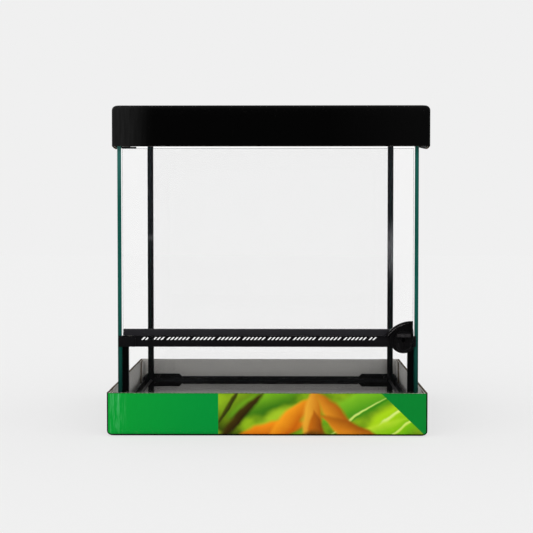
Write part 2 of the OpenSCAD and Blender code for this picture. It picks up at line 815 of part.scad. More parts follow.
// One moulding: slotted face, web and legs over the front window, and a flange under the door
module vent_strip() {
    bore = pin_r + pin_play;
    z_notch = z_strip + bracket_h + bracket_gap;
    key_z = shaft_r + keyhole_gap;
    color(plastic_black) difference() {
        union() {
            facing(y_strip + strip_wall, strip_wall)
                translate([strip_left, z_strip]) square([strip_right - strip_left, strip_h]);
            along_x(-in_w + end_gap, in_w - end_gap)
                polygon([[y_strip + strip_wall - tiny, z_web], [y_strip_back - strip_wall, z_web],
                         [y_strip_back - strip_wall, z_strip], [y_strip_back, z_strip],
                         [y_strip_back, z_web + strip_web], [y_strip + strip_wall - tiny, z_web + strip_web]]);
            along_x(-in_w + end_gap, in_w - end_gap)
                translate([y_strip + strip_wall - tiny, z_strip_top - strip_web])
                    square([y_strip_back - y_strip - strip_wall + tiny, strip_web]);
        }
        facing(y_strip + strip_wall + 0.5, strip_wall + 1) {
            vent_slots();
            translate([lock_x - keyhole_half, lock_z - key_z]) square([2 * keyhole_half, 2 * key_z]);
            translate([strip_left - 1, z_strip - 1])
                square([hinge_bracket_l + bracket_gap + 1, z_notch - z_strip + 1]);
            translate([strip_right - keeper_l - bracket_gap, z_strip - 1])
                square([keeper_l + bracket_gap + 1, z_notch - z_strip + 1]);
        }
        // way through the flange for the lower hinge pin
        translate([hinge_x, hinge_y, z_strip_top - strip_web - 1]) cylinder(r = bore, h = strip_web + 2);
    }
}

// The face of a bracket and the lug behind it, between the web and the flange
module strip_bracket(x_low, x_high, lug_low, lug_high, y_face) {
    z_high = z_strip + bracket_h;
    z_lug = z_web + strip_web + bracket_gap;
    c = bracket_chamfer;
    facing(y_strip + strip_wall, y_strip + strip_wall - y_face)
        polygon([[x_low, z_strip], [x_high, z_strip], [x_high, z_high - c], [x_high - c, z_high],
                 [x_low + c, z_high], [x_low, z_high - c]]);
    block([lug_low, y_strip + strip_wall - tiny, z_lug], [lug_high, y_strip_back - lug_gap, z_high]);
}

module hinge_bracket() {
    x_high = strip_left + hinge_bracket_l;
    color(plastic_black) difference() {
        strip_bracket(strip_left, x_high, -in_w + bond_gap, x_high - 2 * bracket_gap, y_strip - bracket_proud);
        translate([hinge_x, hinge_y, z_strip_top - pin_depth - pin_end_gap])
            cylinder(r = pin_r + pin_play, h = pin_depth + 1);
    }
}

module keeper_bracket() {
    x_low = strip_right - keeper_l;
    color(plastic_black) strip_bracket(x_low, strip_right, x_low, in_w - bond_gap, y_strip);
}

module hinge_washer() {
    color("#d9d6cc") translate([hinge_x, hinge_y, z_strip_top]) difference() {
        cylinder(r = washer_r, h = washer_t);
        translate([0, 0, -1]) cylinder(r = pin_r + pin_play, h = washer_t + 2);
    }
}

// Door

module door_glass() {
    color(glass_tint)
        block([door_left, y_glass, z_rail + rail_seat], [door_right, y_glass + pane_t, z_door_top - shoe_t]);
}

// Channel under the glass, with a round hinge end
module door_rail() {
    y_low = y_rail;
    y_high = y_glass + pane_t + rail_wall;
    end_r = (y_high - y_low) / 2;
    seat_front = y_glass - rail_gap;
    seat_back = y_glass + pane_t + rail_gap;
    z_high = z_rail + rail_h;
    z_seat = z_rail + rail_seat;
    c = rail_chamfer;
    color(plastic_black) difference() {
        intersection() {
            along_x(door_left, door_right)
                polygon([[y_low, z_rail], [y_high, z_rail], [y_high, z_high - c], [y_high - c, z_high],
                         [seat_back, z_high], [seat_back, z_seat], [seat_front, z_seat],
                         [seat_front, z_high], [y_low + c, z_high], [y_low, z_high - c]]);
            translate([0, 0, z_rail]) linear_extrude(rail_h) {
                translate([door_left + end_r, hinge_y]) circle(end_r);
                translate([door_left + end_r, y_low]) square([door_right - door_left - end_r, 2 * end_r]);
            }
        }
        translate([hinge_x, hinge_y, z_rail - 1]) cylinder(r = pin_r + pin_seat_gap, h = rail_seat + 2);
    }
}

module door_shoe() {
    color(plastic_black) difference() {
        translate([0, 0, z_door_top - shoe_t]) linear_extrude(shoe_t) {
            translate([door_left, y_glass]) square([shoe_l - pane_t / 2, pane_t]);
            translate([door_left + shoe_l - pane_t / 2, hinge_y]) circle(pane_t / 2);
        }
        translate([hinge_x, hinge_y, z_door_top - shoe_t - 1])
            cylinder(r = pin_r + pin_seat_gap, h = shoe_t + 2);
    }
}

module hinge_pin(z_from, z_to) {
    color("#c3c6c9") translate([hinge_x, hinge_y, z_from]) cylinder(r = pin_r, h = z_to - z_from);
}

// Handle and lock

// The fan's quarter, cut off at the rail's lower edge and at its right edge
module fan_outline(r) {
    x_mid = lock_x + fan_dx;
    intersection() {
        translate([x_mid, lock_z - fan_dz]) circle(r, $fn = 96);
        translate([x_mid - fan_r, z_rail]) square([fan_r - fan_dx + fan_edge, fan_r * 2]);
    }
}

// A fan joined to a round boss behind the knob
module door_handle() {
    x_edge = lock_x + fan_edge;
    z_rim_low = lock_z + sqrt(hub_r * hub_r - pow(fan_edge - fan_rim_w, 2)) + rim_gap;
    color(plastic_black) difference() {
        union() {
            facing(y_rail, handle_t) {
                fan_outline(fan_r);
                intersection() {
                    translate([lock_x, lock_z]) circle(boss_r, $fn = 96);
                    translate([lock_x - boss_r, lock_z - boss_r])
                        square([boss_r + fan_edge + boss_step, 2 * boss_r]);
                }
            }
            // raised rim along the arc and down the right edge
            facing(y_rail, handle_t + fan_rim_h) {
                difference() {
                    fan_outline(fan_r);
                    translate([lock_x + fan_dx, lock_z - fan_dz]) circle(fan_r - fan_rim_w, $fn = 96);
                }
                intersection() {
                    fan_outline(fan_r);
                    translate([x_edge - fan_rim_w, z_rim_low]) square([fan_rim_w, fan_r]);
                }
            }
            // rear rim that bears on the glass above the rail
            facing(y_glass, rail_wall + tiny)
                intersection() {
                    difference() {
                        fan_outline(fan_r - rear_rim_in);
                        translate([lock_x + fan_dx, lock_z - fan_dz]) circle(fan_r - fan_rim_w, $fn = 96);
                    }
                    translate([lock_x - fan_r, z_rail + rail_h + rail_gap]) square([2 * fan_r, 2 * fan_r]);
                }
        }
        translate([lock_x, y_rail + 1, lock_z]) rotate([90, 0, 0])
            cylinder(r = shaft_r + shaft_play, h = handle_t + 2);
    }
}

// The lever's outline, round at its far end and shrunk by an inset at its sides
module lever_outline(inset, top) {
    half = lever_half - inset;
    z_round = lock_z - lever_reach + lever_half;
    intersection() {
        translate([lock_x, z_round]) circle(half);
        translate([lock_x - half, z_round - half]) square([2 * half, half]);
    }
    translate([lock_x - half, z_round - tiny]) square([2 * half, top - z_round + tiny]);
}

// Hub with a raised bar above the axis and a hollow-faced lever below it
module lock_knob() {
    y_back = y_handle - knob_gap;
    z_lever = lock_z - lever_drop;
    color(plastic_black) difference() {
        union() {
            facing(y_back, knob_t) {
                translate([lock_x, lock_z]) circle(hub_r);
                lever_outline(0, z_lever);
            }
            facing(y_back, knob_t + grip_h) {
                translate([lock_x - lever_half, lock_z + bar_rise]) square([2 * lever_half, bar_w]);
                difference() {
                    lever_outline(0, z_lever);
                    lever_outline(lever_edge, z_lever + 1);
                }
            }
        }
        translate([lock_x, y_back + 1, lock_z]) rotate([90, 0, 0])
            cylinder(r = shaft_r + shaft_play, h = knob_t / 2 + 1);
        translate([lock_x, y_back + 1, lock_z]) rotate([90, 0, 0])
            cylinder(r = screw_r + screw_gap, h = knob_t + grip_h + 2);
    }
}

// Shaft through the handle and the strip's slot, with the cam behind the strip's face
module lock_cam() {
    y_cam = y_strip + strip_wall + cam_gap;
    shaft_front = y_hub + knob_t / 2 + screw_gap;
    half_z = shaft_r - cam_flat;
    color("#9b9ea2") difference() {
        union() {
            translate([lock_x, y_cam + tiny, lock_z]) rotate([90, 0, 0])
                cylinder(r = shaft_r, h = y_cam + tiny - shaft_front);
            block([lock_x - cam_half, y_cam, lock_z - half_z],
                  [lock_x + cam_half, y_cam + cam_t, lock_z + half_z]);
        }
        translate([lock_x, y_hub + knob_t / 2 + screw_depth + 4 * screw_gap, lock_z]) rotate([90, 0, 0])
            cylinder(r = screw_r + screw_gap, h = screw_depth + 1);
    }
}

module lock_screw() {
    color("#9b9ea2") translate([lock_x, y_hub, lock_z]) rotate([90, 0, 0]) {
        cylinder(r1 = screw_head_r, r2 = screw_head_r * 0.7, h = screw_head_h);
        translate([0, 0, -knob_t / 2 - screw_depth]) cylinder(r = screw_r, h = knob_t / 2 + screw_depth + tiny);
    }
}

card_tray();
card_cap();
floor_glass();
side_glass(-1);  // left_glass
side_glass(1);  // right_glass
rear_glass();
front_window();
rear_seal(-1);  // rear_seal_left
rear_seal(1);  // rear_seal_right
floor_seal();
front_post(-1);  // front_post_left
front_post(1);  // front_post_right
base_rail(0);  // base_rail_front
base_rail(1);  // base_rail_right
base_rail(2);  // base_rail_rear
base_rail(3);  // base_rail_left
base_corner(0);  // base_corner_front_left
base_corner(1);  // base_corner_front_right
base_corner(2);  // base_corner_rear_right
base_corner(3);  // base_corner_rear_left
top_fascia();
top_rail(1);  // top_rail_right
top_rail(2);  // top_rail_rear
top_rail(3);  // top_rail_left
top_corner(0);  // top_corner_front_left
top_corner(1);  // top_corner_front_right
top_corner(2);  // top_corner_rear_right
top_corner(3);  // top_corner_rear_left
cable_band();
cable_shutter(-1);  // cable_shutter_left
cable_shutter(1);  // cable_shutter_right
lid_clip(-1);  // lid_clip_left
lid_clip(1);  // lid_clip_right
clip_rivets();
lid_frame();
lid_mesh();
vent_strip();
hinge_bracket();
keeper_bracket();
hinge_washer();
door_glass();
door_rail();
door_shoe();
hinge_pin(z_strip_top - pin_depth, z_rail + rail_seat - pin_head_gap);  // hinge_pin_lower
hinge_pin(z_door_top - shoe_t + pin_head_gap, z_fascia + upper_pin_depth);  // hinge_pin_upper
door_handle();
lock_knob();
lock_cam();
lock_screw();
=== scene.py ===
"""A small glass terrarium in its card tray and cap: finishes, panes, card, woven lid, light and camera."""

import json
import math
from types import SimpleNamespace

import bmesh
import bpy
from mathutils import Matrix, Vector, noise

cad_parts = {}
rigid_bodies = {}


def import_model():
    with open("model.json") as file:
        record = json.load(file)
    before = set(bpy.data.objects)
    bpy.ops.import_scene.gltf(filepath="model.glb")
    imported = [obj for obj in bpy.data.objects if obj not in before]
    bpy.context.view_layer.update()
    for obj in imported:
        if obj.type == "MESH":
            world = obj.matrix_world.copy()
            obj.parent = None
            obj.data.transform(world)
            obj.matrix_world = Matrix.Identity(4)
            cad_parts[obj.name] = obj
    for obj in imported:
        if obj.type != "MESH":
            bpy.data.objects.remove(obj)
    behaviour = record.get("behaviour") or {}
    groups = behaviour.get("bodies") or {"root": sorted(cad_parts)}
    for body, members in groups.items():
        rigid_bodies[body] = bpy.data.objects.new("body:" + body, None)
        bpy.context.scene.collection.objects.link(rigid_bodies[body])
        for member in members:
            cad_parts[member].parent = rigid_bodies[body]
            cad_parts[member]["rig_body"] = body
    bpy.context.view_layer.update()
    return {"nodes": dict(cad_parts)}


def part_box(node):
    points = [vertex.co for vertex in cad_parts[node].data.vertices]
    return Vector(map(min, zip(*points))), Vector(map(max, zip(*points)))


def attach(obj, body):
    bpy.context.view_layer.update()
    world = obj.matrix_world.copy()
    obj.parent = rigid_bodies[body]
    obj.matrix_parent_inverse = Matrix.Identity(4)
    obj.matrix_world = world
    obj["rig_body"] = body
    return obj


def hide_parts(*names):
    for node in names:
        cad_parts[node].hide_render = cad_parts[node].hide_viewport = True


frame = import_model()
nodes = frame["nodes"]

MM = 0.001

# Card packing: the board, its liners' paper, its fluting, and its bends at the base and up the corners
CARD = 2.4 * MM
PAPER = 0.35 * MM
FLUTE_PITCH = 4.2 * MM
FLUTE_PAPER = 0.2 * MM
FLUTE_CLEAR = 0.02 * MM
FOLD = 5 * MM
UPRIGHT = 3.5 * MM
# The tightest bend that an inner liner takes
LEAST_BEND = 0.6 * MM
TAB_LENGTH = 30 * MM
TAB_SLANT = 4 * MM
TAB_BELOW_EDGE = 1 * MM
# The walls lean from this far above the base
LEAN_START = 8 * MM
# The cap's walls: their depth at the front and rear, and where the slump behind the front begins and ends
CAP_FRONT_DEPTH = 40.4 * MM
CAP_REAR_DEPTH = 20 * MM
SLUMP_START = 9.4 * MM
SLUMP_END = 24.4 * MM

# Print on the tray's front, in millimetres: the picture's left edge, the green triangle's foot and slant
PICTURE_LEFT = -49.2
TRIANGLE_FOOT = 157.3
TRIANGLE_SLANT = 1.04

# Lid
WEAVE_PITCH = 4 * MM
WEAVE_WIRE = 0.5 * MM

# Edges in millimetres: the arris of most panes, that of the window and door, and a silicone bead's rounding
WIDE_ARRIS = 0.5
FINE_ARRIS = 0.15
BEAD_ROUND = 0.3

tray_low, tray_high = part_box("card_tray")
cap_low, cap_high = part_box("card_cap")
TRAY_TOP = tray_high.z
CAP_TOP = cap_high.z
CAP_SHIFT = (cap_low.x + cap_high.x) / 2
TRAY_SHIFT = (tray_low.x + tray_high.x) / 2
TRAY_HALF = (tray_high - tray_low) / 2


# Colours and nodes


def linear(code):
    """An sRGB hex colour as the linear RGBA that a shader takes."""
    parts = [int(code[i : i + 2], 16) / 255 for i in (1, 3, 5)]
    return tuple(c / 12.92 if c <= 0.04045 else ((c + 0.055) / 1.055) ** 2.4 for c in parts) + (1.0,)


def add(tree, kind, inputs=None, **settings):
    """Adds a node, sets its properties, then sets or links its inputs by name or number. A node as an input
    stands for its first output."""
    node = tree.nodes.new(kind)
    for name, value in settings.items():
        setattr(node, name, value)
    for key, value in (inputs or {}).items():
        socket = node.inputs[key]
        source = value.outputs[0] if isinstance(value, bpy.types.Node) else value
        if isinstance(source, bpy.types.NodeSocket):
            tree.links.new(source, socket)
        else:
            socket.default_value = source
    return node


def blank_finish(name):
    """An empty material, its tree, and the piece's own coordinates in millimetres. So places are millimetres
    in the shared frame, and a pattern's Scale is one over its size in millimetres."""
    material = bpy.data.materials.new(name)
    material.use_nodes = True
    tree = material.node_tree
    tree.nodes.clear()
    coords = add(tree, "ShaderNodeTexCoord")
    mm = add(
        tree,
        "ShaderNodeVectorMath",
        {0: coords.outputs["Object"], 1: (1000, 1000, 1000)},
        operation="MULTIPLY",
    )
    return material, tree, mm


def tint(tree, amount, first, second):
    """A colour between two, by amount. Each is a hex colour or another node's colour."""
    first = linear(first) if isinstance(first, str) else first
    second = linear(second) if isinstance(second, str) else second
    return add(tree, "ShaderNodeMix", {0: amount, 6: first, 7: second}, data_type="RGBA").outputs[2]


def drawn_out(tree, mm, upright, size_mm, detail, roughness=0.5):
    """Noise that is drawn out along Z into streaks, by one over upright."""
    place = add(tree, "ShaderNodeVectorMath", {0: mm, 1: (1, 1, upright)}, operation="MULTIPLY")
    pattern = {"Vector": place, "Scale": 1 / size_mm, "Detail": detail, "Roughness": roughness}
    return add(tree, "ShaderNodeTexNoise", pattern)


def coat(tree, colour, roughness, relief, others):
    """The shader of an opaque finish, on the material's output."""
    inputs = {"Base Color": colour, "Roughness": roughness} | others
    if relief is not None:
        inputs["Normal"] = relief
    shader = add(tree, "ShaderNodeBsdfPrincipled", inputs)
    add(tree, "ShaderNodeOutputMaterial", {"Surface": shader})


# Moulded plastics


def moulded_abs(name, deep, haze, edge_wear_and_highlight="#35353a", wear_and_highlight_share=(0.0, 0.4), *, rough, grain_mm, relief_mm, sheen):
    """Black ABS from a mould: a fine even texture, faint haze from hands and dust, and paler edges: wear on
    most parts, a painted highlight on the latch. The share says how pale an edge gets, at least and at most."""
    material, tree, mm = blank_finish(name)
    cloud = add(tree, "ShaderNodeTexNoise", {"Vector": mm, "Scale": 1 / 28, "Detail": 3.0, "Roughness": 0.6})
    # the mould's real grain is too fine to show, so it is drawn coarser
    grain = add(tree, "ShaderNodeTexNoise", {"Vector": mm, "Scale": 1 / grain_mm, "Detail": 2.0})
    rub = add(tree, "ShaderNodeTexNoise", {"Vector": mm, "Scale": 1 / 3.5, "Detail": 3.0})
    edge = add(tree, "ShaderNodeAttribute", attribute_name="edge")
    wear_and_highlight_amount = add(
        tree,
        "ShaderNodeMapRange",
        {"Value": rub, "From Min": 0.4, "From Max": 0.65, "To Min": wear_and_highlight_share[0], "To Max": wear_and_highlight_share[1]},
    )
    # edges made paler: wear on most parts, and on the latch a painted highlight
    rubbed = add(tree, "ShaderNodeMath", {0: wear_and_highlight_amount, 1: edge.outputs["Fac"]}, operation="MULTIPLY")
    colour = tint(tree, rubbed, tint(tree, cloud, deep, haze), edge_wear_and_highlight)
    gloss = add(
        tree,
        "ShaderNodeMapRange",
        {"Value": cloud, "From Min": 0.3, "From Max": 0.7, "To Min": rough - 0.06, "To Max": rough + 0.07},
    )
    relief = add(tree, "ShaderNodeBump", {"Strength": 0.6, "Distance": relief_mm * MM, "Height": grain})
    coat(tree, colour, gloss, relief, {"IOR": 1.53, "Specular IOR Level": sheen})
    return material


def silicone_bead():
    """Black glazing silicone: wet-looking, with the long soft ripples of a tooled bead, and painted
    highlights on the rear beads.
    """
    material, tree, mm = blank_finish("black_glazing_silicone")
    ripple = drawn_out(tree, mm, 0.25, 4.5, 2.0)
    highlight_streaks = drawn_out(tree, mm, 0.25, 3, 3.0)
    place = add(tree, "ShaderNodeSeparateXYZ", {0: mm})
    at_rear = add(tree, "ShaderNodeMath", {0: place.outputs["Y"], 1: 140.0}, operation="GREATER_THAN")
    # the rear beads have dulled towards their top
    up = add(tree, "ShaderNodeMapRange", {"Value": place.outputs["Z"], "From Min": 80.0, "From Max": 280.0})
    dulled = add(tree, "ShaderNodeMath", {0: at_rear, 1: up}, operation="MULTIPLY")
    wet = tint(tree, ripple, "#08080a", "#17181b")
    dull = tint(tree, ripple, "#28282d", "#3a3b41")
    colour = tint(tree, dulled, wet, dull)
    # a painted highlight half way up the rear right bead, and a small one on the left, laid on in pale
    # streaks
    for side, middle, reach, strength in ((1.0, 178.0, 46.0, 1.1), (-1.0, 193.0, 6.0, 0.5)):
        here = add(tree, "ShaderNodeMath", {0: place.outputs["X"], 1: side}, operation="MULTIPLY")
        on_side = add(tree, "ShaderNodeMath", {0: here, 1: 100.0}, operation="GREATER_THAN")
        height = add(tree, "ShaderNodeMath", {0: place.outputs["Z"], 1: middle}, operation="SUBTRACT")
        distance = add(tree, "ShaderNodeMath", {0: height}, operation="ABSOLUTE")
        fade = add(
            tree,
            "ShaderNodeMapRange",
            {"Value": distance, "From Min": reach, "From Max": 0.0, "To Max": strength},
            interpolation_type="SMOOTHSTEP",
        )
        bead = add(tree, "ShaderNodeMath", {0: at_rear, 1: on_side}, operation="MULTIPLY")
        highlight_patch = add(tree, "ShaderNodeMath", {0: bead, 1: fade}, operation="MULTIPLY")
        amount = add(tree, "ShaderNodeMath", {0: highlight_patch, 1: highlight_streaks}, operation="MULTIPLY")
        colour = tint(tree, amount, colour, "#a2a2a6")
    relief = add(tree, "ShaderNodeBump", {"Strength": 0.5, "Distance": 0.25 * MM, "Height": ripple})
    coat(tree, colour, 0.34, relief, {"IOR": 1.41, "Specular IOR Level": 0.1})
    return material


def natural_nylon():
    """Natural nylon 6: milky off-white, soft sheen, slightly see-through at its edge."""
    material, tree, mm = blank_finish("natural_nylon")
    cloud = add(tree, "ShaderNodeTexNoise", {"Vector": mm, "Scale": 1 / 0.8, "Detail": 2.0})
    colour = tint(tree, cloud, "#d8d4c6", "#ebe8de")
    coat(tree, colour, 0.42, None, {"IOR": 1.53, "Subsurface Weight": 0.15})
    return material


# Metals


def plated_steel(name, dark, bright, rough):
    """Steel pins and screws: fine turning marks, drawn coarser than real so that they show, and slightly
    cloudy plating."""
    material, tree, mm = blank_finish(name)
    cloud = add(tree, "ShaderNodeTexNoise", {"Vector": mm, "Scale": 1 / 1.6, "Detail": 3.0})
    marks = add(tree, "ShaderNodeTexNoise", {"Vector": mm, "Scale": 1 / 0.35, "Detail": 2.0})
    colour = tint(tree, cloud, dark, bright)
    gloss = add(tree, "ShaderNodeMapRange", {"Value": cloud, "To Min": rough - 0.08, "To Max": rough + 0.08})
    relief = add(tree, "ShaderNodeBump", {"Strength": 0.4, "Distance": 0.02 * MM, "Height": marks})
    coat(tree, colour, gloss, relief, {"Metallic": 1.0})
    return material


def coated_wire():
    """Woven steel wire under black powder coat: slightly pebbled."""
    material, tree, mm = blank_finish("powder_coated_wire")
    pebble = add(tree, "ShaderNodeTexNoise", {"Vector": mm, "Scale": 1 / 0.5, "Detail": 2.0})
    colour = tint(tree, pebble, "#141416", "#26262a")
    relief = add(tree, "ShaderNodeBump", {"Strength": 0.5, "Distance": 0.03 * MM, "Height": pebble})
    coat(tree, colour, 0.5, relief, {"Specular IOR Level": 0.3})
    return material


# Glass


def float_glass(name, tone, bend):
    """Clear float glass: a mirror at a slant, nearly nothing face on, with no shadow. Bend is its IOR."""
    material, tree, _ = blank_finish(name)
    glass = add(
        tree,
        "ShaderNodeBsdfPrincipled",
        {"Base Color": linear(tone), "Roughness": 0.0, "IOR": bend, "Transmission Weight": 1.0},
    )
    clear = add(tree, "ShaderNodeBsdfTransparent", {"Color": linear(tone)})
    path = add(tree, "ShaderNodeLightPath")
    either = add(tree, "ShaderNodeMixShader", {0: path.outputs["Is Shadow Ray"], 1: glass, 2: clear})
    add(tree, "ShaderNodeOutputMaterial", {"Surface": either})
    return material


def ground_edge():
    """The ground and arrised edge of a pane: deep teal, where one looks along the whole sheet, with painted
    shade at its foot and a painted highlight at its head on the left."""
    material, tree, mm = blank_finish("ground_glass_edge")
    place = add(tree, "ShaderNodeSeparateXYZ", {0: mm})
    cloud = add(tree, "ShaderNodeTexNoise", {"Vector": mm, "Scale": 1 / 22, "Detail": 3.0})
    height = add(
        tree, "ShaderNodeMapRange", {"Value": place.outputs["Z"], "From Min": 40.0, "From Max": 120.0}
    )
    head = add(
        tree, "ShaderNodeMapRange", {"Value": place.outputs["Z"], "From Min": 230.0, "From Max": 285.0}
    )
    body = tint(tree, cloud, "#03443a", "#0b5a4f")
    # painted shade darkens the foot
    foot = tint(tree, height, "#013028", body)
    left = add(
        tree, "ShaderNodeMapRange", {"Value": place.outputs["X"], "From Min": 100.0, "From Max": -100.0}
    )
    # painted light pales the head on the left
    lit_head = add(tree, "ShaderNodeMath", {0: head, 1: left}, operation="MULTIPLY")
    colour = tint(tree, lit_head, foot, "#2c6861")
    # the wheel's grit marks, drawn coarser than real so that they show
    grit = add(tree, "ShaderNodeTexNoise", {"Vector": mm, "Scale": 1 / 0.35, "Detail": 2.0})
    relief = add(tree, "ShaderNodeBump", {"Strength": 0.4, "Distance": 0.02 * MM, "Height": grit})
    coat(tree, colour, 0.22, relief, {"IOR": 1.52, "Specular IOR Level": 0.35})
    return material


# Printed and plain card


def flute_ridges(tree, mm):
    """Where the flutes press through the liner: 1 on a flute and -1 between two, running up every wall."""
    phase = add(tree, "ShaderNodeVectorMath", {0: mm, 1: (1, 1, 0)}, operation="DOT_PRODUCT")
    wave = add(
        tree,
        "ShaderNodeMath",
        {0: phase.outputs["Value"], 1: 2 * math.pi / (FLUTE_PITCH / MM)},
        operation="MULTIPLY",
    )
    return add(tree, "ShaderNodeMath", {0: wave}, operation="SINE")


def card_relief(tree, mm, ridges):
    """Relief of a paper liner: the flutes under it, its slack, and fibres, which are drawn coarser than real
    so that they show."""
    fibre = add(tree, "ShaderNodeTexNoise", {"Vector": mm, "Scale": 1 / 0.7, "Detail": 4.0, "Roughness": 0.7})
    slack = add(tree, "ShaderNodeTexNoise", {"Vector": mm, "Scale": 1 / 16, "Detail": 2.0})
    washboard = add(
        tree, "ShaderNodeBump", {"Strength": 0.35, "Distance": 0.06 * MM, "Height": flute_ridges(tree, mm)}
    )
    buckle = add(
        tree,
        "ShaderNodeBump",
        {"Strength": ridges, "Distance": 0.5 * MM, "Height": slack, "Normal": washboard},
    )
    return add(
        tree, "ShaderNodeBump", {"Strength": 0.3, "Distance": 0.03 * MM, "Height": fibre, "Normal": buckle}
    )


def scuffed_folds(tree, mm, printed, bare):
    """Print that has cracked to bare paper along the folds and corners, by the fold attribute."""
    fold = add(tree, "ShaderNodeAttribute", attribute_name="fold")
    specks = add(
        tree, "ShaderNodeTexNoise", {"Vector": mm, "Scale": 1 / 1.3, "Detail": 5.0, "Roughness": 0.75}
    )
    cracked = add(
        tree, "ShaderNodeMapRange", {"Value": specks, "From Min": 0.6, "From Max": 0.7, "To Max": 0.35}
    )
    amount = add(tree, "ShaderNodeMath", {0: cracked, 1: fold.outputs["Fac"]}, operation="MULTIPLY")
    return tint(tree, amount, printed, bare)


def black_liner():
    """White-top liner printed solid black and varnished: deep and level, streaked grey at the glued end."""
    material, tree, mm = blank_finish("black_printed_liner")
    along = add(tree, "ShaderNodeSeparateXYZ", {0: mm})
    glued_end = add(
        tree,
        "ShaderNodeMapRange",
        {"Value": along.outputs["X"], "From Min": -112.0, "From Max": -146.0},
        interpolation_type="SMOOTHSTEP",
    )
    right_end = add(
        tree, "ShaderNodeMapRange", {"Value": along.outputs["X"], "From Min": 60.0, "From Max": 150.0}
    )
    streaks = drawn_out(tree, mm, 0.06, 2.1, 3.0, 0.65)
    level = tint(tree, right_end, "#030303", "#080808")
    grey = tint(tree, streaks, "#0a0a0a", "#2a2a2a")
    end_amount = add(tree, "ShaderNodeMath", {0: glued_end, 1: 0.8}, operation="MULTIPLY")
    printed = tint(tree, end_amount, level, grey)
    colour = scuffed_folds(tree, mm, printed, "#3a3733")
    coat(tree, colour, 0.5, card_relief(tree, mm, 0.25), {"Specular IOR Level": 0.05})
    return material


def leaf(tree, plane, under, centre, size, turn, blur, dark, light):
    """Lays a blurred pointed leaf or petal on the print. Its centre and half-size are in millimetres, and its
    turn in degrees."""
    spin = (0, 0, math.radians(turn))
    local = add(
        tree,
        "ShaderNodeMapping",
        {"Vector": plane, "Location": (*centre, 0), "Rotation": spin, "Scale": (*size, 1)},
        vector_type="TEXTURE",
    )
    part = add(tree, "ShaderNodeSeparateXYZ", {0: local})
    squared = add(tree, "ShaderNodeMath", {0: part.outputs["X"], 1: part.outputs["X"]}, operation="MULTIPLY")
    width = add(tree, "ShaderNodeMath", {0: 1.0, 1: squared}, operation="SUBTRACT")
    across = add(tree, "ShaderNodeMath", {0: part.outputs["Y"]}, operation="ABSOLUTE")
    inside = add(tree, "ShaderNodeMath", {0: width, 1: across}, operation="SUBTRACT")
    mask = add(
        tree,
        "ShaderNodeMapRange",
        {"Value": inside, "From Min": -blur, "From Max": blur},
        interpolation_type="SMOOTHSTEP",
    )
    side = add(tree, "ShaderNodeMapRange", {"Value": part.outputs["Y"], "From Min": -0.8, "From Max": 0.8})
    return tint(tree, mask, under, tint(tree, side, dark, light))


def leaf_print(tree, mm):
    """A generic out-of-focus print of leaves and petals, in the tray front's X and Z."""
    flat = add(tree, "ShaderNodeSeparateXYZ", {0: mm})
    sheet = add(tree, "ShaderNodeCombineXYZ", {0: flat.outputs["X"], 1: flat.outputs["Z"]})
    # a slow wander bends every outline a little
    wander = add(tree, "ShaderNodeTexNoise", {"Vector": sheet, "Scale": 1 / 26, "Detail": 2.0})
    centred = add(
        tree, "ShaderNodeVectorMath", {0: wander.outputs["Color"], 1: (0.5, 0.5, 0.5)}, operation="SUBTRACT"
    )
    plane = add(tree, "ShaderNodeVectorMath", {0: centred, 1: (9, 9, 0), 2: sheet}, operation="MULTIPLY_ADD")
    mottle = add(tree, "ShaderNodeTexNoise", {"Vector": plane, "Scale": 1 / 21, "Detail": 2.0})
    shade = add(tree, "ShaderNodeMapRange", {"Value": mottle, "From Min": 0.35, "From Max": 0.65})
    picture = tint(tree, shade, "#4f7d12", "#8fb61c")
    # centre, half-size, turn, blur and the two colours of each, from the back to the front
    leaves = [
        # broad leaves at the back
        ((-30, 33), (34, 12), 38, 0.45, "#39660f", "#86a91b"),
        ((-2, 34), (40, 11), 22, 0.4, "#2f6d12", "#79b51f"),
        ((16, 12), (44, 14), 24, 0.4, "#5b8f14", "#a6c92a"),
        ((-44, 12), (30, 9), -30, 0.5, "#2c3f0b", "#66800f"),
        # dark stems crossing in front of them
        ((-27, 20), (36, 5.2), 47, 0.5, "#2a1a08", "#46380c"),
        ((-40, 28), (24, 2.2), 60, 0.55, "#2b2a0a", "#4a4d0c"),
        # long grass-like leaves at the right
        ((96, 34), (52, 12), 24, 0.4, "#3f8f16", "#7ebd24"),
        ((126, 12), (62, 17), 38, 0.3, "#6fb40f", "#a9d418"),
        ((120, 17), (54, 1.5), 39, 0.6, "#c9e35a", "#dcee86"),
        ((136, 10), (44, 1.1), 37, 0.6, "#bfdd48", "#d3e874"),
        ((102, 4), (40, 5), 20, 0.5, "#8cc41a", "#b6d92f"),
        ((92, 22), (40, 1.6), 33, 0.6, "#a9d240", "#cfe67a"),
        ((106, 30), (34, 1.2), 34, 0.6, "#2f7a12", "#4f9a1c"),
        # a spray of amber petals from below the middle, and the dark cup it grows from
        ((4, 6), (36, 9), 12, 0.28, "#b4560a", "#f08c14"),
        ((20, 14), (34, 9), 46, 0.28, "#c4620a", "#f29c1c"),
        ((44, 20), (30, 9), 84, 0.28, "#c06c10", "#eaa832"),
        ((70, 16), (36, 9), 126, 0.28, "#ac5c0e", "#e09222"),
        ((84, 7), (36, 7), 156, 0.28, "#9c520c", "#d8841a"),
        ((48, 4), (22, 7), 96, 0.28, "#8a440a", "#c46c10"),
        ((47, -2), (16, 7), 0, 0.45, "#4d2a08", "#7a4a0e"),
    ]
    for centre, size, turn, blur, dark, light in leaves:
        picture = leaf(tree, plane, picture, centre, size, turn, blur, dark, light)
    return picture


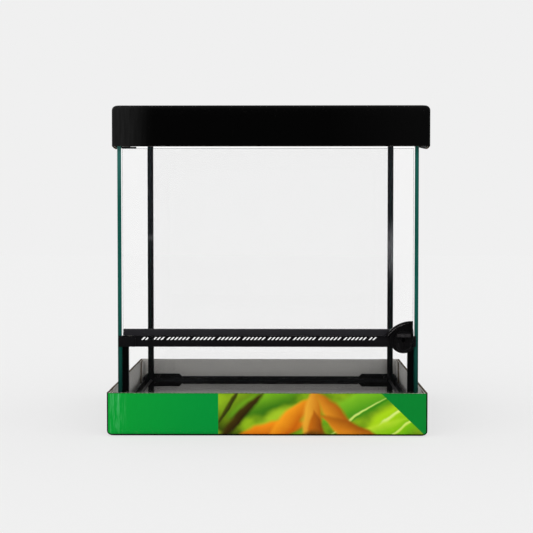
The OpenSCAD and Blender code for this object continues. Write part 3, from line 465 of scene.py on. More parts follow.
def tray_liner():
    """White-top liner of the tray: green and a picture on the front, and black on the other sides."""
    material, tree, mm = blank_finish("green_printed_liner")
    place = add(tree, "ShaderNodeSeparateXYZ", {0: mm})
    x, y, z = place.outputs["X"], place.outputs["Y"], place.outputs["Z"]
    streaks = drawn_out(tree, mm, 0.08, 2.4, 3.0, 0.6)
    end = add(tree, "ShaderNodeMapRange", {"Value": x, "From Min": -140.0, "From Max": -150.0})
    rub = add(tree, "ShaderNodeMapRange", {"Value": streaks, "From Min": 0.5, "From Max": 0.72})
    rubbed = add(tree, "ShaderNodeMath", {0: end, 1: rub}, operation="MULTIPLY")
    across = add(tree, "ShaderNodeMapRange", {"Value": x, "From Min": -158.0, "From Max": -60.0})
    panel = tint(tree, across, "#069833", "#008e36")
    panel = tint(tree, rubbed, panel, "#4db46c")
    # picture between the panel and the slanted triangle
    in_picture = add(tree, "ShaderNodeMath", {0: x, 1: PICTURE_LEFT}, operation="GREATER_THAN")
    front = tint(tree, in_picture, panel, leaf_print(tree, mm))
    slant = add(tree, "ShaderNodeVectorMath", {0: mm, 1: (1, 0, TRIANGLE_SLANT)}, operation="DOT_PRODUCT")
    in_triangle = add(
        tree, "ShaderNodeMath", {0: slant.outputs["Value"], 1: TRIANGLE_FOOT}, operation="GREATER_THAN"
    )
    front = tint(tree, in_triangle, front, "#057f2e")
    # the print turns darker just below the cut edge along the top
    rim = TRAY_TOP / MM
    thin = {"Value": z, "From Min": rim - 1.1, "From Max": rim - 0.3, "To Max": 0.55}
    front = tint(tree, add(tree, "ShaderNodeMapRange", thin), front, "#06401a")
    # the other sides are printed black, and the folds where they turn away from the front are black too
    from_middle = add(tree, "ShaderNodeMath", {0: x, 1: TRAY_SHIFT / MM}, operation="SUBTRACT")
    aside = add(tree, "ShaderNodeMath", {0: from_middle}, operation="ABSOLUTE")
    between = add(tree, "ShaderNodeMath", {0: aside, 1: TRAY_HALF.x / MM - 1.6}, operation="LESS_THAN")
    forward = add(tree, "ShaderNodeMath", {0: y, 1: tray_low.y / MM + 0.9}, operation="LESS_THAN")
    on_front = add(tree, "ShaderNodeMath", {0: between, 1: forward}, operation="MULTIPLY")
    printed = tint(tree, on_front, "#070707", front)
    colour = scuffed_folds(tree, mm, printed, "#8f8a7c")
    coat(tree, colour, 0.42, card_relief(tree, mm, 0.2), {"Specular IOR Level": 0.05})
    return material


def grey_board():
    """Recycled grey liner inside the card: matt, mottled, with pale and dark fibres."""
    material, tree, mm = blank_finish("grey_recycled_liner")
    fibres = drawn_out(tree, mm, 0.4, 0.9, 5.0, 0.7)
    cloud = add(tree, "ShaderNodeTexNoise", {"Vector": mm, "Scale": 1 / 35, "Detail": 3.0})
    specks = add(tree, "ShaderNodeMapRange", {"Value": fibres, "From Min": 0.35, "From Max": 0.65})
    colour = tint(tree, specks, "#e2e0dc", "#f3f1ed")
    colour = tint(tree, cloud, colour, "#ebe9e4")
    coat(tree, colour, 0.85, card_relief(tree, mm, 0.3), {"Specular IOR Level": 0.1})
    return material


def kraft_edge():
    """Dull brown recycled paper where the card is cut: fluting and the raw edges of the liners."""
    material, tree, mm = blank_finish("brown_kraft_paper")
    fibres = add(
        tree, "ShaderNodeTexNoise", {"Vector": mm, "Scale": 1 / 0.5, "Detail": 4.0, "Roughness": 0.7}
    )
    colour = tint(tree, fibres, "#4a3f33", "#857867")
    relief = add(tree, "ShaderNodeBump", {"Strength": 0.4, "Distance": 0.05 * MM, "Height": fibres})
    coat(tree, colour, 0.9, relief, {"Specular IOR Level": 0.1})
    return material


FRAME_ABS = moulded_abs(
    "black_abs_frame", "#040405", "#09090b", rough=0.5, grain_mm=0.5, relief_mm=0.05, sheen=0.08
)
STRIP_ABS = moulded_abs(
    "black_abs_strip", "#0d0c0e", "#141316", rough=0.46, grain_mm=0.6, relief_mm=0.03, sheen=0.1
)
DOOR_ABS = moulded_abs(
    "black_abs_door", "#1f1e21", "#29282c", "#3f3e43", rough=0.42, grain_mm=0.6, relief_mm=0.03, sheen=0.12
)
# the latch's near-white edge tone is a painted highlight on its rims and grip
LATCH_ABS = moulded_abs(
    "black_abs_latch",
    "#070607",
    "#0d0c0e",
    "#c8c2c4",
    (0.5, 0.9),
    rough=0.3,
    grain_mm=0.8,
    relief_mm=0.015,
    sheen=0.5,
)
SILICONE = silicone_bead()
NYLON = natural_nylon()
ZINC = plated_steel("zinc_plated_steel", "#8b8e92", "#b9bcc0", 0.34)
BLACKENED = plated_steel("blackened_steel", "#1c1c1e", "#2f3033", 0.42)
WIRE = coated_wire()
GLASS = float_glass("clear_float_glass", "#fcfcfc", 1.52)
# The side panes are seen nearly edge on. They hardly bend, so that the corners behind them show through
SIDE_GLASS = float_glass("clear_side_glass", "#f8f8f8", 1.001)
EDGE = ground_edge()
BLACK_CARD = black_liner()
GREEN_CARD = tray_liner()
GREY_BOARD = grey_board()
KRAFT = kraft_edge()


# Meshes

# Points nearer than this are one, and edges sharper than this many degrees are rounded
WELD = 0.002 * MM
SHARP = 28


def keep(name, bm, stands_for, finishes, crease=None, body=None):
    """Makes a piece of a finished mesh: its finishes, the body it rides on and the CAD nodes it stands for.
    With a crease it is shaded smooth, apart from edges sharper than that many degrees."""
    mesh = bpy.data.meshes.new(name)
    bm.to_mesh(mesh)
    bm.free()
    for material in finishes:
        mesh.materials.append(material)
    if crease:
        mesh.shade_smooth()
        mesh.set_sharp_from_angle(angle=math.radians(crease))
    piece = bpy.data.objects.new(name, mesh)
    bpy.context.scene.collection.objects.link(piece)
    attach(piece, body or nodes[stands_for[0]]["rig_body"])
    if stands_for:
        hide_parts(*stands_for)


def eased(bm, edges, width_mm, segments):
    """Chamfers edges with one segment, or rounds them with more, and returns the new faces."""
    return bmesh.ops.bevel(
        bm,
        geom=edges,
        offset=width_mm * MM,
        offset_type="OFFSET",
        segments=segments,
        profile=0.5,
        affect="EDGES",
        clamp_overlap=True,
    )["faces"]


def block(bm, low, high):
    """Adds a plain block from its low to its high corner, and returns its points."""
    place = Matrix.Translation((low + high) / 2) @ Matrix.Diagonal((*(high - low), 1))
    return bmesh.ops.create_cube(bm, size=1, matrix=place)["verts"]


def moulded(node, radius_mm, finish, rub=None):
    """A CAD node with its sharp edges rounded as a mould leaves them. The edge attribute says how pale each
    face is made: 1 on the rounded edges, for wear, or, where rub is given, the painted highlight that rub
    gives for a face and its middle."""
    bm = bmesh.new()
    bm.from_mesh(nodes[node].data)
    bmesh.ops.remove_doubles(bm, verts=bm.verts, dist=WELD)
    bmesh.ops.dissolve_limit(bm, angle_limit=math.radians(0.5), verts=bm.verts, edges=bm.edges)
    mark = bm.faces.layers.float.new("edge")
    sharp = [e for e in bm.edges if e.is_manifold and e.calc_face_angle(0) > math.radians(SHARP)]
    for face in eased(bm, sharp, radius_mm, 2):
        face[mark] = 1.0
    if rub:
        bm.normal_update()
        for face in bm.faces:
            face[mark] = rub(face, face.calc_center_median())
    keep("moulded_" + node, bm, [node], [finish], crease=40)


def pane(node, arris_mm, sheet, polished=False):
    """A pane with ground edges: clear faces, and the rim of the sheet in the edge finish. The upright ends
    of a polished pane stay clear."""
    low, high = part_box(node)
    size = high - low
    thin = min(range(3), key=lambda axis: size[axis])
    bm = bmesh.new()
    block(bm, low, high)
    eased(bm, bm.edges[:], arris_mm, 1)
    bm.normal_update()
    for face in bm.faces:
        clear = abs(face.normal[thin]) > 0.99 or (polished and abs(face.normal.z) < 0.01)
        face.material_index = 0 if clear else 1
    keep("ground_" + node, bm, [node], [sheet, EDGE])


def bond_bead(name, side):
    """The silicone between an end of the front window and a side pane: a thin strip, hollow in front."""
    window_low, window_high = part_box("front_window")
    post_low, post_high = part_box("front_post_right")
    end, wall = window_high.x, post_high.x
    front, back = window_low.y + FINE_ARRIS * MM, post_low.y + BEAD_ROUND * MM
    hollow = 0.1 * MM
    section = [(end, front), ((end + wall) / 2, front + hollow), (wall, front), (wall, back), (end, back)]
    bm = bmesh.new()
    foot, head = ([bm.verts.new((side * x, y, z)) for x, y in section] for z in (post_low.z, post_high.z))
    bm.faces.new(foot)
    bm.faces.new(head)
    for i in range(len(section)):
        j = (i + 1) % len(section)
        bm.faces.new((foot[i], foot[j], head[j], head[i]))
    bmesh.ops.recalc_face_normals(bm, faces=bm.faces)
    keep(name, bm, [], [SILICONE], body="tank")


# Glass, plastic, silicone and metal pieces

pane("left_glass", WIDE_ARRIS, SIDE_GLASS)
pane("right_glass", WIDE_ARRIS, SIDE_GLASS)
pane("rear_glass", WIDE_ARRIS, GLASS)
pane("floor_glass", WIDE_ARRIS, GLASS)
pane("front_window", FINE_ARRIS, GLASS)
pane("door_glass", FINE_ARRIS, GLASS, polished=True)

corners = ("front_left", "front_right", "rear_right", "rear_left")
sides = ("right", "rear", "left")
for name in [f"base_corner_{c}" for c in corners] + [f"base_rail_{s}" for s in ("front", *sides)]:
    moulded(name, 0.3, FRAME_ABS)
for name in [f"top_corner_{c}" for c in corners] + [f"top_rail_{s}" for s in sides] + ["top_fascia"]:
    moulded(name, 0.3, FRAME_ABS)
for name in ("cable_band", "cable_shutter_left", "cable_shutter_right", "lid_clip_left", "lid_clip_right"):
    moulded(name, 0.25, FRAME_ABS)
moulded("lid_frame", 0.4, FRAME_ABS)
moulded("vent_strip", 0.08, STRIP_ABS)
moulded("hinge_bracket", 0.25, STRIP_ABS)
moulded("keeper_bracket", 0.25, STRIP_ABS)
moulded("door_rail", 0.35, DOOR_ABS)
moulded("door_shoe", 0.25, DOOR_ABS)
screw_low, screw_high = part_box("lock_screw")
LOCK_HEIGHT = (screw_low.z + screw_high.z) / 2
KNOB_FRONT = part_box("lock_knob")[0].y
# Painted highlights go on what faces forward and down, as if lit from there. A face whose normal's Y is below
# FACING looks straight forward
HIGHLIGHT_TOWARD = Vector((0.35, -0.6, -0.72))
FACING = -0.95
# The grip bar and the fan's rim lie more than this above the lock's axis
ABOVE_LOCK = 2 * MM


def painted_fan_highlight(face, middle):
    """Painted highlight: the inner edge of the fan's rim is painted pale, as if it caught the light."""
    inner = face.normal.dot(HIGHLIGHT_TOWARD) > 0.6 and face.normal.y > FACING and face.normal.x > 0.1
    return 1.0 if inner and middle.z > LOCK_HEIGHT + ABOVE_LOCK else 0.0


def painted_grip_highlight(face, middle):
    """Painted highlight: the grip bar's front is painted a little paler, and the lever's lower edges more."""
    if face.normal.y < FACING:
        return 0.045 if middle.y < KNOB_FRONT + 0.3 * MM and middle.z > LOCK_HEIGHT + ABOVE_LOCK else 0.0
    return 1.0 if face.normal.dot(HIGHLIGHT_TOWARD) > 0.5 and middle.z < LOCK_HEIGHT else 0.0


moulded("door_handle", 0.7, LATCH_ABS, painted_fan_highlight)
moulded("lock_knob", 0.4, LATCH_ABS, painted_grip_highlight)
for name in ("rear_seal_left", "rear_seal_right", "floor_seal", "front_post_left", "front_post_right"):
    moulded(name, BEAD_ROUND, SILICONE)
bond_bead("bond_bead_left", -1)
bond_bead("bond_bead_right", 1)
moulded("hinge_washer", 0.06, NYLON)
for name in ("hinge_pin_lower", "hinge_pin_upper", "lock_cam", "clip_rivets"):
    moulded(name, 0.1, ZINC)
moulded("lock_screw", 0.15, BLACKENED)


# Folded card


def tray_edge(p):
    """Height of the tray's cut edge, which runs a few tenths of a millimetre uneven."""
    wave = 0.25 * MM * (noise.noise(Vector((p.x * 30, p.y * 30, 2.0))) - 0.4)
    return TRAY_TOP + min(wave, 0.0) - 0.1 * MM


def cap_edge(p):
    """Height of the cap's cut edge: level at the front, slumped behind it, then climbing to the rear."""
    front, side, rear = CAP_TOP - CAP_FRONT_DEPTH, cap_low.z, CAP_TOP - CAP_REAR_DEPTH
    y = p.y - cap_low.y
    if y < SLUMP_START:
        return front
    if y < SLUMP_END:
        t = (y - SLUMP_START) / (SLUMP_END - SLUMP_START)
        return front + (side - front) * t * t * (3 - 2 * t)
    t = min(1.0, (y - SLUMP_END) / (cap_high.y - CARD - cap_low.y - SLUMP_END))
    return side + (rear - side) * t


# A box's walls lean in by up to lean. It grows over their height and waves along them, with wave as the
# noise's scale per metre, and the walls stay upright within stiff of a corner
TRAY = SimpleNamespace(
    node="card_tray",
    half=(TRAY_HALF.x, tray_high.y),
    shift=TRAY_SHIFT,
    base=0.0,
    up=1,
    edge=tray_edge,
    height=TRAY_TOP,
    lean=0.35 * MM,
    wave=18,
    seed=5.0,
    stiff=6 * MM,
)
CAP = SimpleNamespace(
    node="card_cap",
    half=(cap_high.x - CAP_SHIFT, cap_high.y),
    shift=CAP_SHIFT,
    base=CAP_TOP,
    up=-1,
    edge=cap_edge,
    height=40 * MM,
    lean=0.3 * MM,
    wave=15,
    seed=9.0,
    stiff=9.6 * MM,
)


def settled(box, p):
    """Where a point of a box ends up when its walls lean in between their corners."""
    share = max(0.0, (box.up * (p.z - box.base) - LEAN_START) / box.height)
    wave = 0.5 + 0.5 * noise.noise(Vector((p.x * box.wave, p.y * box.wave, box.seed)))
    lean = box.lean * share * wave
    near = 4 * MM
    q = p.copy()
    if abs(abs(p.y) - box.half[1]) < near and abs(p.x - box.shift) < box.half[0] - box.stiff:
        q.y -= math.copysign(lean, p.y)
    elif abs(abs(p.x - box.shift) - box.half[0]) < near and abs(p.y) < box.half[1] - box.stiff:
        q.x -= math.copysign(lean, p.x - box.shift)
    return q


def outline(half_x, half_y, radius, z, shift):
    """Points round a rectangle with rounded corners, anticlockwise, with its straight runs divided."""
    runs, steps = 20, 5
    arcs = []
    for side_x, side_y, start in ((1, -1, -90), (1, 1, 0), (-1, 1, 90), (-1, -1, 180)):
        centre = Vector((side_x * (half_x - radius), side_y * (half_y - radius)))
        angles = [math.radians(start + 90 * k / steps) for k in range(steps + 1)]
        arcs.append([centre + radius * Vector((math.cos(a), math.sin(a))) for a in angles])
    points = []
    for arc, following in zip(arcs, arcs[1:] + arcs[:1]):
        points += arc + [arc[-1].lerp(following[0], k / runs) for k in range(1, runs)]
    return [Vector((p.x + shift, p.y, z)) for p in points]


def card_skin(name, box, inset, finish):
    """One liner of a folded box as a closed sheet: its base, the rounded fold, and its walls."""
    fold_steps, wall_steps = 5, 6

    def rings(depth):
        """Rings of a face that lies this deep in the card, from the base to the cut edge, each with its share
        of the fold attribute."""
        half_x, half_y = box.half[0] - depth, box.half[1] - depth
        fold_radius = max(FOLD - depth, LEAST_BEND)
        corner_radius = max(UPRIGHT - depth, LEAST_BEND)
        level = box.base + box.up * depth
        foot = level + box.up * fold_radius
        out = []
        for k in range(fold_steps + 1):
            a = math.radians(90 * k / fold_steps)
            cut = fold_radius * (1 - math.sin(a))
            rise = fold_radius * (1 - math.cos(a))
            ring = outline(half_x - cut, half_y - cut, corner_radius, level + box.up * rise, box.shift)
            out.append((ring, 1.0 if k else 0.6))
        for k in range(1, wall_steps + 1):
            ring = outline(half_x, half_y, corner_radius, 0.0, box.shift)
            for p in ring:
                p.z = foot + (box.edge(p) - foot) * k / wall_steps
            out.append((ring, 0.0 if k < wall_steps else 0.3))
        return out

    def folded(p, share):
        """How far a point is on a fold: most along the base, less up the corners, least at the cut edge."""
        near = UPRIGHT * 0.8
        at_corner = abs(abs(p.x - box.shift) - box.half[0]) < near and abs(abs(p.y) - box.half[1]) < near
        return max(share, 0.8 if at_corner else 0.0)

    outer, inner = rings(inset), rings(inset + PAPER)
    bm = bmesh.new()
    mark = bm.verts.layers.float.new("fold")
    loops = []
    for ring, share in outer + inner[::-1]:
        verts = [bm.verts.new(settled(box, p)) for p in ring]
        for v, p in zip(verts, ring):
            v[mark] = folded(p, share)
        loops.append(verts)
    n = len(loops[0])
    for low, high in zip(loops, loops[1:]):
        for i in range(n):
            bm.faces.new((low[i], low[(i + 1) % n], high[(i + 1) % n], high[i]))
    bm.faces.new(loops[0][::-1])
    bm.faces.new(loops[-1])
    rim = set(loops[len(outer) - 1]) | set(loops[len(outer)])
    for face in bm.faces:
        if all(v in rim for v in face.verts):
            face.material_index = 1
    bmesh.ops.recalc_face_normals(bm, faces=bm.faces)
    keep(name, bm, [box.node], [finish, KRAFT], crease=50)


def sized_tree(name, sizes):
    """An empty Geometry Nodes tree with named inputs for its sizes and its finish, and those inputs."""
    tree = bpy.data.node_groups.new(name, "GeometryNodeTree")
    face = tree.interface
    face.new_socket("Geometry", in_out="INPUT", socket_type="NodeSocketGeometry")
    face.new_socket("Geometry", in_out="OUTPUT", socket_type="NodeSocketGeometry")
    for label in sizes:
        face.new_socket(label, in_out="INPUT", socket_type="NodeSocketFloat")
    face.new_socket("Finish", in_out="INPUT", socket_type="NodeSocketMaterial")
    return tree, add(tree, "NodeGroupInput").outputs


def waved_strip(tree, given, count, turn, wave, aside, section):
    """A section swept along X, on points that swing aside as a wave. Turn is its angle over one pitch."""
    ends = add(tree, "ShaderNodeCombineXYZ", {"X": given["Length"]})
    line = add(tree, "GeometryNodeMeshLine", {"Count": count, "Offset": ends}, mode="END_POINTS")
    place = add(tree, "GeometryNodeInputPosition")
    along = add(tree, "ShaderNodeSeparateXYZ", {0: place})
    pitches = add(tree, "ShaderNodeMath", {0: along.outputs["X"], 1: given["Pitch"]}, operation="DIVIDE")
    angle = add(tree, "ShaderNodeMath", {0: pitches, 1: turn}, operation="MULTIPLY")
    level = add(tree, "ShaderNodeMath", {0: angle}, operation=wave)
    swing = add(tree, "ShaderNodeMath", {0: level, 1: given["Swing"]}, operation="MULTIPLY")
    offset = add(tree, "ShaderNodeCombineXYZ", {aside: swing})
    bent = add(tree, "GeometryNodeSetPosition", {"Geometry": line, "Offset": offset})
    path = add(tree, "GeometryNodeMeshToCurve", {"Mesh": bent})
    return add(tree, "GeometryNodeCurveToMesh", {"Curve": path, "Profile Curve": section, "Fill Caps": True})


def finished(tree, given, shape):
    """Ends a Geometry Nodes tree: the shape made real, in its finish."""
    real = add(tree, "GeometryNodeRealizeInstances", {0: shape})
    done = add(tree, "GeometryNodeSetMaterial", {"Geometry": real, "Material": given["Finish"]})
    add(tree, "NodeGroupOutput", {0: done})
    return tree


def fluted_paper_tree():
    """Geometry Nodes: a closed strip of fluted paper along X, one metre high, with 8 points a flute."""
    tree, given = sized_tree("fluted_paper", ("Length", "Pitch", "Swing", "Paper"))
    flutes = add(tree, "ShaderNodeMath", {0: given["Length"], 1: given["Pitch"]}, operation="DIVIDE")
    count = add(tree, "ShaderNodeMath", {0: flutes, 1: 8.0, 2: 1.0}, operation="MULTIPLY_ADD")
    section = add(tree, "GeometryNodeCurvePrimitiveQuadrilateral", {"Width": given["Paper"], "Height": 1.0})
    return finished(tree, given, waved_strip(tree, given, count, 2 * math.pi, "SINE", "Y", section))


def woven_wire_tree():
    """Geometry Nodes: a row of wires along X, each bent over and under the wires it crosses, every second one
    the other way up."""
    tree, given = sized_tree("woven_wire", ("Length", "Reach", "Pitch", "Swing", "Wire", "Flip"))
    crossings = add(tree, "ShaderNodeMath", {0: given["Length"], 1: given["Pitch"]}, operation="DIVIDE")
    bends = add(tree, "ShaderNodeMath", {0: crossings, 1: 2.0, 2: 1.5}, operation="MULTIPLY_ADD")
    radius = add(tree, "ShaderNodeMath", {0: given["Wire"], 1: 0.5}, operation="MULTIPLY")
    section = add(
        tree, "GeometryNodeCurvePrimitiveCircle", {"Resolution": 4, "Radius": radius}, mode="RADIUS"
    )
    wire = waved_strip(tree, given, bends, math.pi, "COSINE", "Z", section)
    rows = add(tree, "ShaderNodeMath", {0: given["Reach"], 1: given["Pitch"]}, operation="DIVIDE")
    row_count = add(tree, "ShaderNodeMath", {0: rows, 1: 1.5}, operation="ADD")
    across = add(tree, "ShaderNodeCombineXYZ", {"Y": given["Reach"]})
    starts = add(tree, "GeometryNodeMeshLine", {"Count": row_count, "Offset": across}, mode="END_POINTS")
    number = add(tree, "GeometryNodeInputIndex")
    shifted = add(tree, "ShaderNodeMath", {0: number, 1: given["Flip"]}, operation="ADD")
    odd = add(tree, "ShaderNodeMath", {0: shifted, 1: 2.0}, operation="MODULO")
    roll = add(tree, "ShaderNodeMath", {0: odd, 1: math.pi}, operation="MULTIPLY")
    turned = add(tree, "ShaderNodeCombineXYZ", {"X": roll})
    rotation = add(tree, "FunctionNodeEulerToRotation", {0: turned})
    laid = add(
        tree, "GeometryNodeInstanceOnPoints", {"Points": starts, "Instance": wire, "Rotation": rotation}
    )
    return finished(tree, given, laid)


def grown(tree, values):
    """The plain mesh that a Geometry Nodes tree makes with these named values."""
    holder = bpy.data.objects.new("holder", bpy.data.meshes.new("holder"))
    bpy.context.scene.collection.objects.link(holder)
    modifier = holder.modifiers.new("made", "NODES")
    modifier.node_group = tree
    for item in tree.interface.items_tree:
        if item.item_type == "SOCKET" and item.in_out == "INPUT" and item.name in values:
            modifier[item.identifier] = values[item.name]
    bpy.context.view_layer.update()
    mesh = bpy.data.meshes.new_from_object(holder.evaluated_get(bpy.context.evaluated_depsgraph_get()))
    bpy.data.objects.remove(holder)
    return mesh


def woven_lid():
    """The lid's mesh: two rows of wires woven through each other. The real wires are finer and closer, and
    these are as coarse as they need to be to show."""
    low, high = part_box("lid_mesh")
    spans = [round((high[axis] - low[axis]) / WEAVE_PITCH) * WEAVE_PITCH for axis in (0, 1)]
    tree = woven_wire_tree()
    sizes = {"Pitch": WEAVE_PITCH, "Swing": WEAVE_WIRE / 2, "Wire": WEAVE_WIRE, "Finish": WIRE}
    bm = bmesh.new()
    for along, flip in ((0, 0.0), (1, 1.0)):
        mesh = grown(tree, sizes | {"Length": spans[along], "Reach": spans[1 - along], "Flip": flip})
        turn = Matrix.Translation((-spans[along] / 2, -spans[1 - along] / 2, 0))
        if along:
            # X and Y change places
            turn = Matrix(((0, 1, 0, 0), (1, 0, 0, 0), (0, 0, 1, 0), (0, 0, 0, 1))) @ turn
        mesh.transform(Matrix.Translation((low + high) / 2) @ turn)
        bm.from_mesh(mesh)
        bpy.data.meshes.remove(mesh)
    bmesh.ops.recalc_face_normals(bm, faces=bm.faces)
    keep("woven_lid_mesh", bm, ["lid_mesh"], [WIRE], crease=60)


def fluted_walls(name, box):
    """The fluted paper inside the four walls, from the fold to the cut edge."""
    swing = (CARD - 2 * PAPER - FLUTE_PAPER) / 2 - FLUTE_CLEAR
    sizes = {"Pitch": FLUTE_PITCH, "Swing": swing, "Paper": FLUTE_PAPER, "Finish": KRAFT}
    bm = bmesh.new()
    for side in range(4):
        half_wall, away = box.half if side % 2 == 0 else box.half[::-1]
        length = 2 * (half_wall - UPRIGHT)
        mesh = grown(FLUTES, sizes | {"Length": length})
        start = Matrix.Translation((-length / 2, CARD / 2 - away, 0))
        turn = Matrix.Rotation(math.radians(90 * side), 4, "Z") @ start
        heights = [v.co.z for v in mesh.vertices]
        middle = (min(heights) + max(heights)) / 2
        for v in mesh.vertices:
            at_top = v.co.z > middle
            spot = turn @ Vector((v.co.x, v.co.y, 0))
            spot.x += box.shift
            spot.z = box.edge(spot) if at_top else box.base + box.up * FOLD
            v.co = settled(box, spot)
        bm.from_mesh(mesh)
        bpy.data.meshes.remove(mesh)
    bmesh.ops.recalc_face_normals(bm, faces=bm.faces)
    keep(name, bm, [box.node], [KRAFT], crease=50)


def glued_tab(side, end):
    """The end flap of the tray's front or rear wall, folded round the corner and glued inside the side."""
    low = Vector((TRAY_HALF.x - 2 * CARD, TRAY_HALF.y - CARD - TAB_LENGTH, FOLD))
    high = Vector((TRAY_HALF.x - CARD, TRAY_HALF.y - CARD, TRAY_TOP - TAB_BELOW_EDGE))
    bm = bmesh.new()
    mark = bm.verts.layers.float.new("fold")
    for near, far, finish in ((0.0, PAPER, 0), (CARD - PAPER, CARD, 0), (PAPER, CARD - PAPER, 1)):
        # the fluting lies a little behind the cut edges of the liners
        drop = 0.15 * MM if finish else 0.0
        start = Vector((low.x + near, low.y + drop, low.z))
        for v in block(bm, start, Vector((low.x + far, high.y, high.z - drop))):
            v[mark] = 1.0 if v.co.z > high.z - 1 * MM else 0.2
            for face in v.link_faces:
                face.material_index = finish
    for v in bm.verts:
        # the free end is cut slanting
        free = max(0.0, (high.y - v.co.y) / TAB_LENGTH)
        top = (v.co.z - low.z) / (high.z - low.z)
        v.co = Vector((side * v.co.x + TRAY_SHIFT, end * (v.co.y + TAB_SLANT * free * top), v.co.z))
    bmesh.ops.recalc_face_normals(bm, faces=bm.faces)
    place = ("left" if side < 0 else "right") + ("_front" if end < 0 else "_rear")
    keep("glued_tab_" + place, bm, ["card_tray"], [GREY_BOARD, KRAFT])


FLUTES = fluted_paper_tree()

woven_lid()
for name, box, outside, inside in (
    ("tray", TRAY, GREEN_CARD, GREY_BOARD),
    ("cap", CAP, BLACK_CARD, BLACK_CARD),
):
    card_skin(name + "_outer_liner", box, 0.0, outside)
    card_skin(name + "_inner_liner", box, CARD - PAPER, inside)
for name, box in (("tray", TRAY), ("cap", CAP)):
    fluted_walls(name + "_fluting", box)
for side in (-1, 1):
    for end in (-1, 1):
        glued_tab(side, end)


# Floor, light and camera

BACKGROUND = "#f0f0f0"
# Brightness of the background behind glass, which makes up for what two panes reflect
THROUGH_GLASS = 1.07
# How bright gloss and glass see the studio: dim where the camera stands, and bright behind the object
DIM, BRIGHT = 0.03, 0.9
# The level at which the world lights the object
AMBIENT = 0.86
# Shares of the floor's own light, the rest being the light that falls on it with the object's shadow
LEVEL_TO_CAMERA = 0.7
LEVEL_THROUGH_GLASS = 0.95
# The photograph is square, and these are read off it, in its pixels
PHOTO_SIDE = 533
FOCAL_LENGTH = 1320.4
DOWNWARD_SHIFT = 1.0
# Where the camera stands, in metres, and how far it looks down and to its left, in degrees
CAMERA_PLACE = (0.0138, -1.465, 0.2178)
LOOKS_DOWN = 2.1
LOOKS_LEFT = 0.66


def pale_floor():
    """A plain pale floor that meets the background without a line and keeps the object's soft shadow."""
    bm = bmesh.new()
    bmesh.ops.create_grid(bm, x_segments=1, y_segments=1, size=6)
    mesh = bpy.data.meshes.new("floor")
    bm.to_mesh(mesh)
    bm.free()
    floor = bpy.data.objects.new("floor", mesh)
    bpy.context.scene.collection.objects.link(floor)
    floor.location.z = -0.2 * MM
    material, tree, mm = blank_finish("pale_floor")
    lit = add(tree, "ShaderNodeBsdfDiffuse", {"Color": linear(BACKGROUND)})
    level = add(tree, "ShaderNodeEmission", {"Color": linear(BACKGROUND), "Strength": 1.0})
    through = add(tree, "ShaderNodeEmission", {"Color": linear("#ffffff"), "Strength": THROUGH_GLASS})
    path = add(tree, "ShaderNodeLightPath")
    camera_share = add(
        tree, "ShaderNodeMath", {0: path.outputs["Is Camera Ray"], 1: LEVEL_TO_CAMERA}, operation="MULTIPLY"
    )
    glass_share = add(
        tree,
        "ShaderNodeMath",
        {0: path.outputs["Is Transmission Ray"], 1: LEVEL_THROUGH_GLASS},
        operation="MULTIPLY",
    )
    seen = add(tree, "ShaderNodeMixShader", {0: camera_share, 1: lit, 2: level})
    passed = add(tree, "ShaderNodeMixShader", {0: glass_share, 1: seen, 2: through})
    # glass and gloss mirror the same dim studio in front of the object as they do above the floor
    place = add(tree, "ShaderNodeSeparateXYZ", {0: mm})
    behind = add(
        tree,
        "ShaderNodeMapRange",
        {"Value": place.outputs["Y"], "From Min": -160.0, "From Max": 400.0, "To Min": DIM, "To Max": BRIGHT},
        interpolation_type="SMOOTHSTEP",
    )
    mirrored = add(tree, "ShaderNodeEmission", {"Color": linear(BACKGROUND), "Strength": behind})
    reflected = add(
        tree, "ShaderNodeMath", {0: path.outputs["Glossy Depth"], 1: 0.5}, operation="GREATER_THAN"
    )
    bounced = add(tree, "ShaderNodeMath", {0: path.outputs["Diffuse Depth"], 1: 0.5}, operation="LESS_THAN")
    mirror_share = add(tree, "ShaderNodeMath", {0: reflected, 1: bounced}, operation="MULTIPLY")
    shader = add(tree, "ShaderNodeMixShader", {0: mirror_share, 1: passed, 2: mirrored})
    add(tree, "ShaderNodeOutputMaterial", {"Surface": shader})
    mesh.materials.append(material)


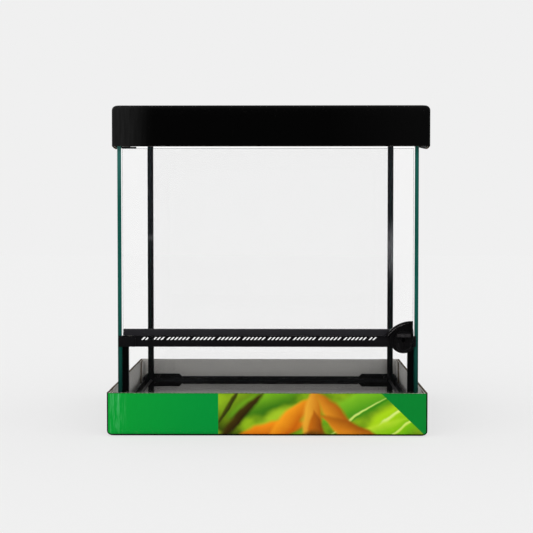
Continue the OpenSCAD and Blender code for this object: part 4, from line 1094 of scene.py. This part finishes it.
def studio_world():
    """A pale studio all round: the same pale grey behind the object, and dimmer where the camera stands."""
    world = bpy.data.worlds.new("studio")
    bpy.context.scene.world = world
    world.use_nodes = True
    tree = world.node_tree
    tree.nodes.clear()
    path = add(tree, "ShaderNodeLightPath")
    way = add(tree, "ShaderNodeTexCoord")
    axis = add(tree, "ShaderNodeSeparateXYZ", {0: way.outputs["Generated"]})
    behind = add(
        tree,
        "ShaderNodeMapRange",
        {"Value": axis.outputs["Y"], "From Min": -0.7, "From Max": 0.1, "To Min": DIM, "To Max": BRIGHT},
        interpolation_type="SMOOTHSTEP",
    )
    seen = add(tree, "ShaderNodeBackground", {"Color": linear(BACKGROUND), "Strength": 1.0})
    through = add(tree, "ShaderNodeBackground", {"Color": linear("#ffffff"), "Strength": THROUGH_GLASS})
    mirrored = add(tree, "ShaderNodeBackground", {"Color": linear(BACKGROUND), "Strength": behind})
    lit = add(tree, "ShaderNodeBackground", {"Color": (1, 1, 1, 1), "Strength": AMBIENT})
    bounced = add(
        tree, "ShaderNodeMath", {0: path.outputs["Diffuse Depth"], 1: 0.5}, operation="GREATER_THAN"
    )
    reflected = add(
        tree, "ShaderNodeMath", {0: path.outputs["Glossy Depth"], 1: 0.5}, operation="GREATER_THAN"
    )
    glossy = add(tree, "ShaderNodeMixShader", {0: reflected, 1: lit, 2: mirrored})
    passed = add(tree, "ShaderNodeMixShader", {0: path.outputs["Is Transmission Ray"], 1: glossy, 2: through})
    either = add(tree, "ShaderNodeMixShader", {0: reflected, 1: passed, 2: glossy})
    around = add(tree, "ShaderNodeMixShader", {0: bounced, 1: either, 2: lit})
    final = add(tree, "ShaderNodeMixShader", {0: path.outputs["Is Camera Ray"], 1: around, 2: seen})
    add(tree, "ShaderNodeOutputWorld", {"Surface": final})


def lamp(name, energy, spread, tilt, turn, in_gloss):
    """A very soft sun. Its spread, its tilt from overhead and its turn round the object are in degrees."""
    data = bpy.data.lights.new(name, "SUN")
    data.energy = energy
    data.angle = math.radians(spread)
    sun = bpy.data.objects.new(name, data)
    bpy.context.scene.collection.objects.link(sun)
    sun.rotation_euler = (math.radians(tilt), 0, math.radians(turn))
    sun.visible_glossy = in_gloss
    # its disc isn't mirrored in one pane and seen back through the other
    sun.visible_transmission = False


def camera():
    """The photo's viewpoint: 1.3 m in front of the door, a little above the middle, looking slightly down."""
    data = bpy.data.cameras.new("camera")
    data.sensor_width = 36
    data.lens = FOCAL_LENGTH / PHOTO_SIDE * data.sensor_width
    data.shift_y = -DOWNWARD_SHIFT / PHOTO_SIDE
    data.clip_start, data.clip_end = 0.05, 50
    view = bpy.data.objects.new("camera", data)
    bpy.context.scene.collection.objects.link(view)
    view.location = CAMERA_PLACE
    view.rotation_euler = (math.radians(90 - LOOKS_DOWN), 0, math.radians(LOOKS_LEFT))
    bpy.context.scene.camera = view


bpy.context.scene.view_settings.view_transform = "Standard"
pale_floor()
studio_world()
lamp("soft_key", energy=0.4, spread=60, tilt=38, turn=-25, in_gloss=True)
lamp("low_front_fill", energy=0.56, spread=50, tilt=72, turn=8, in_gloss=False)
camera()
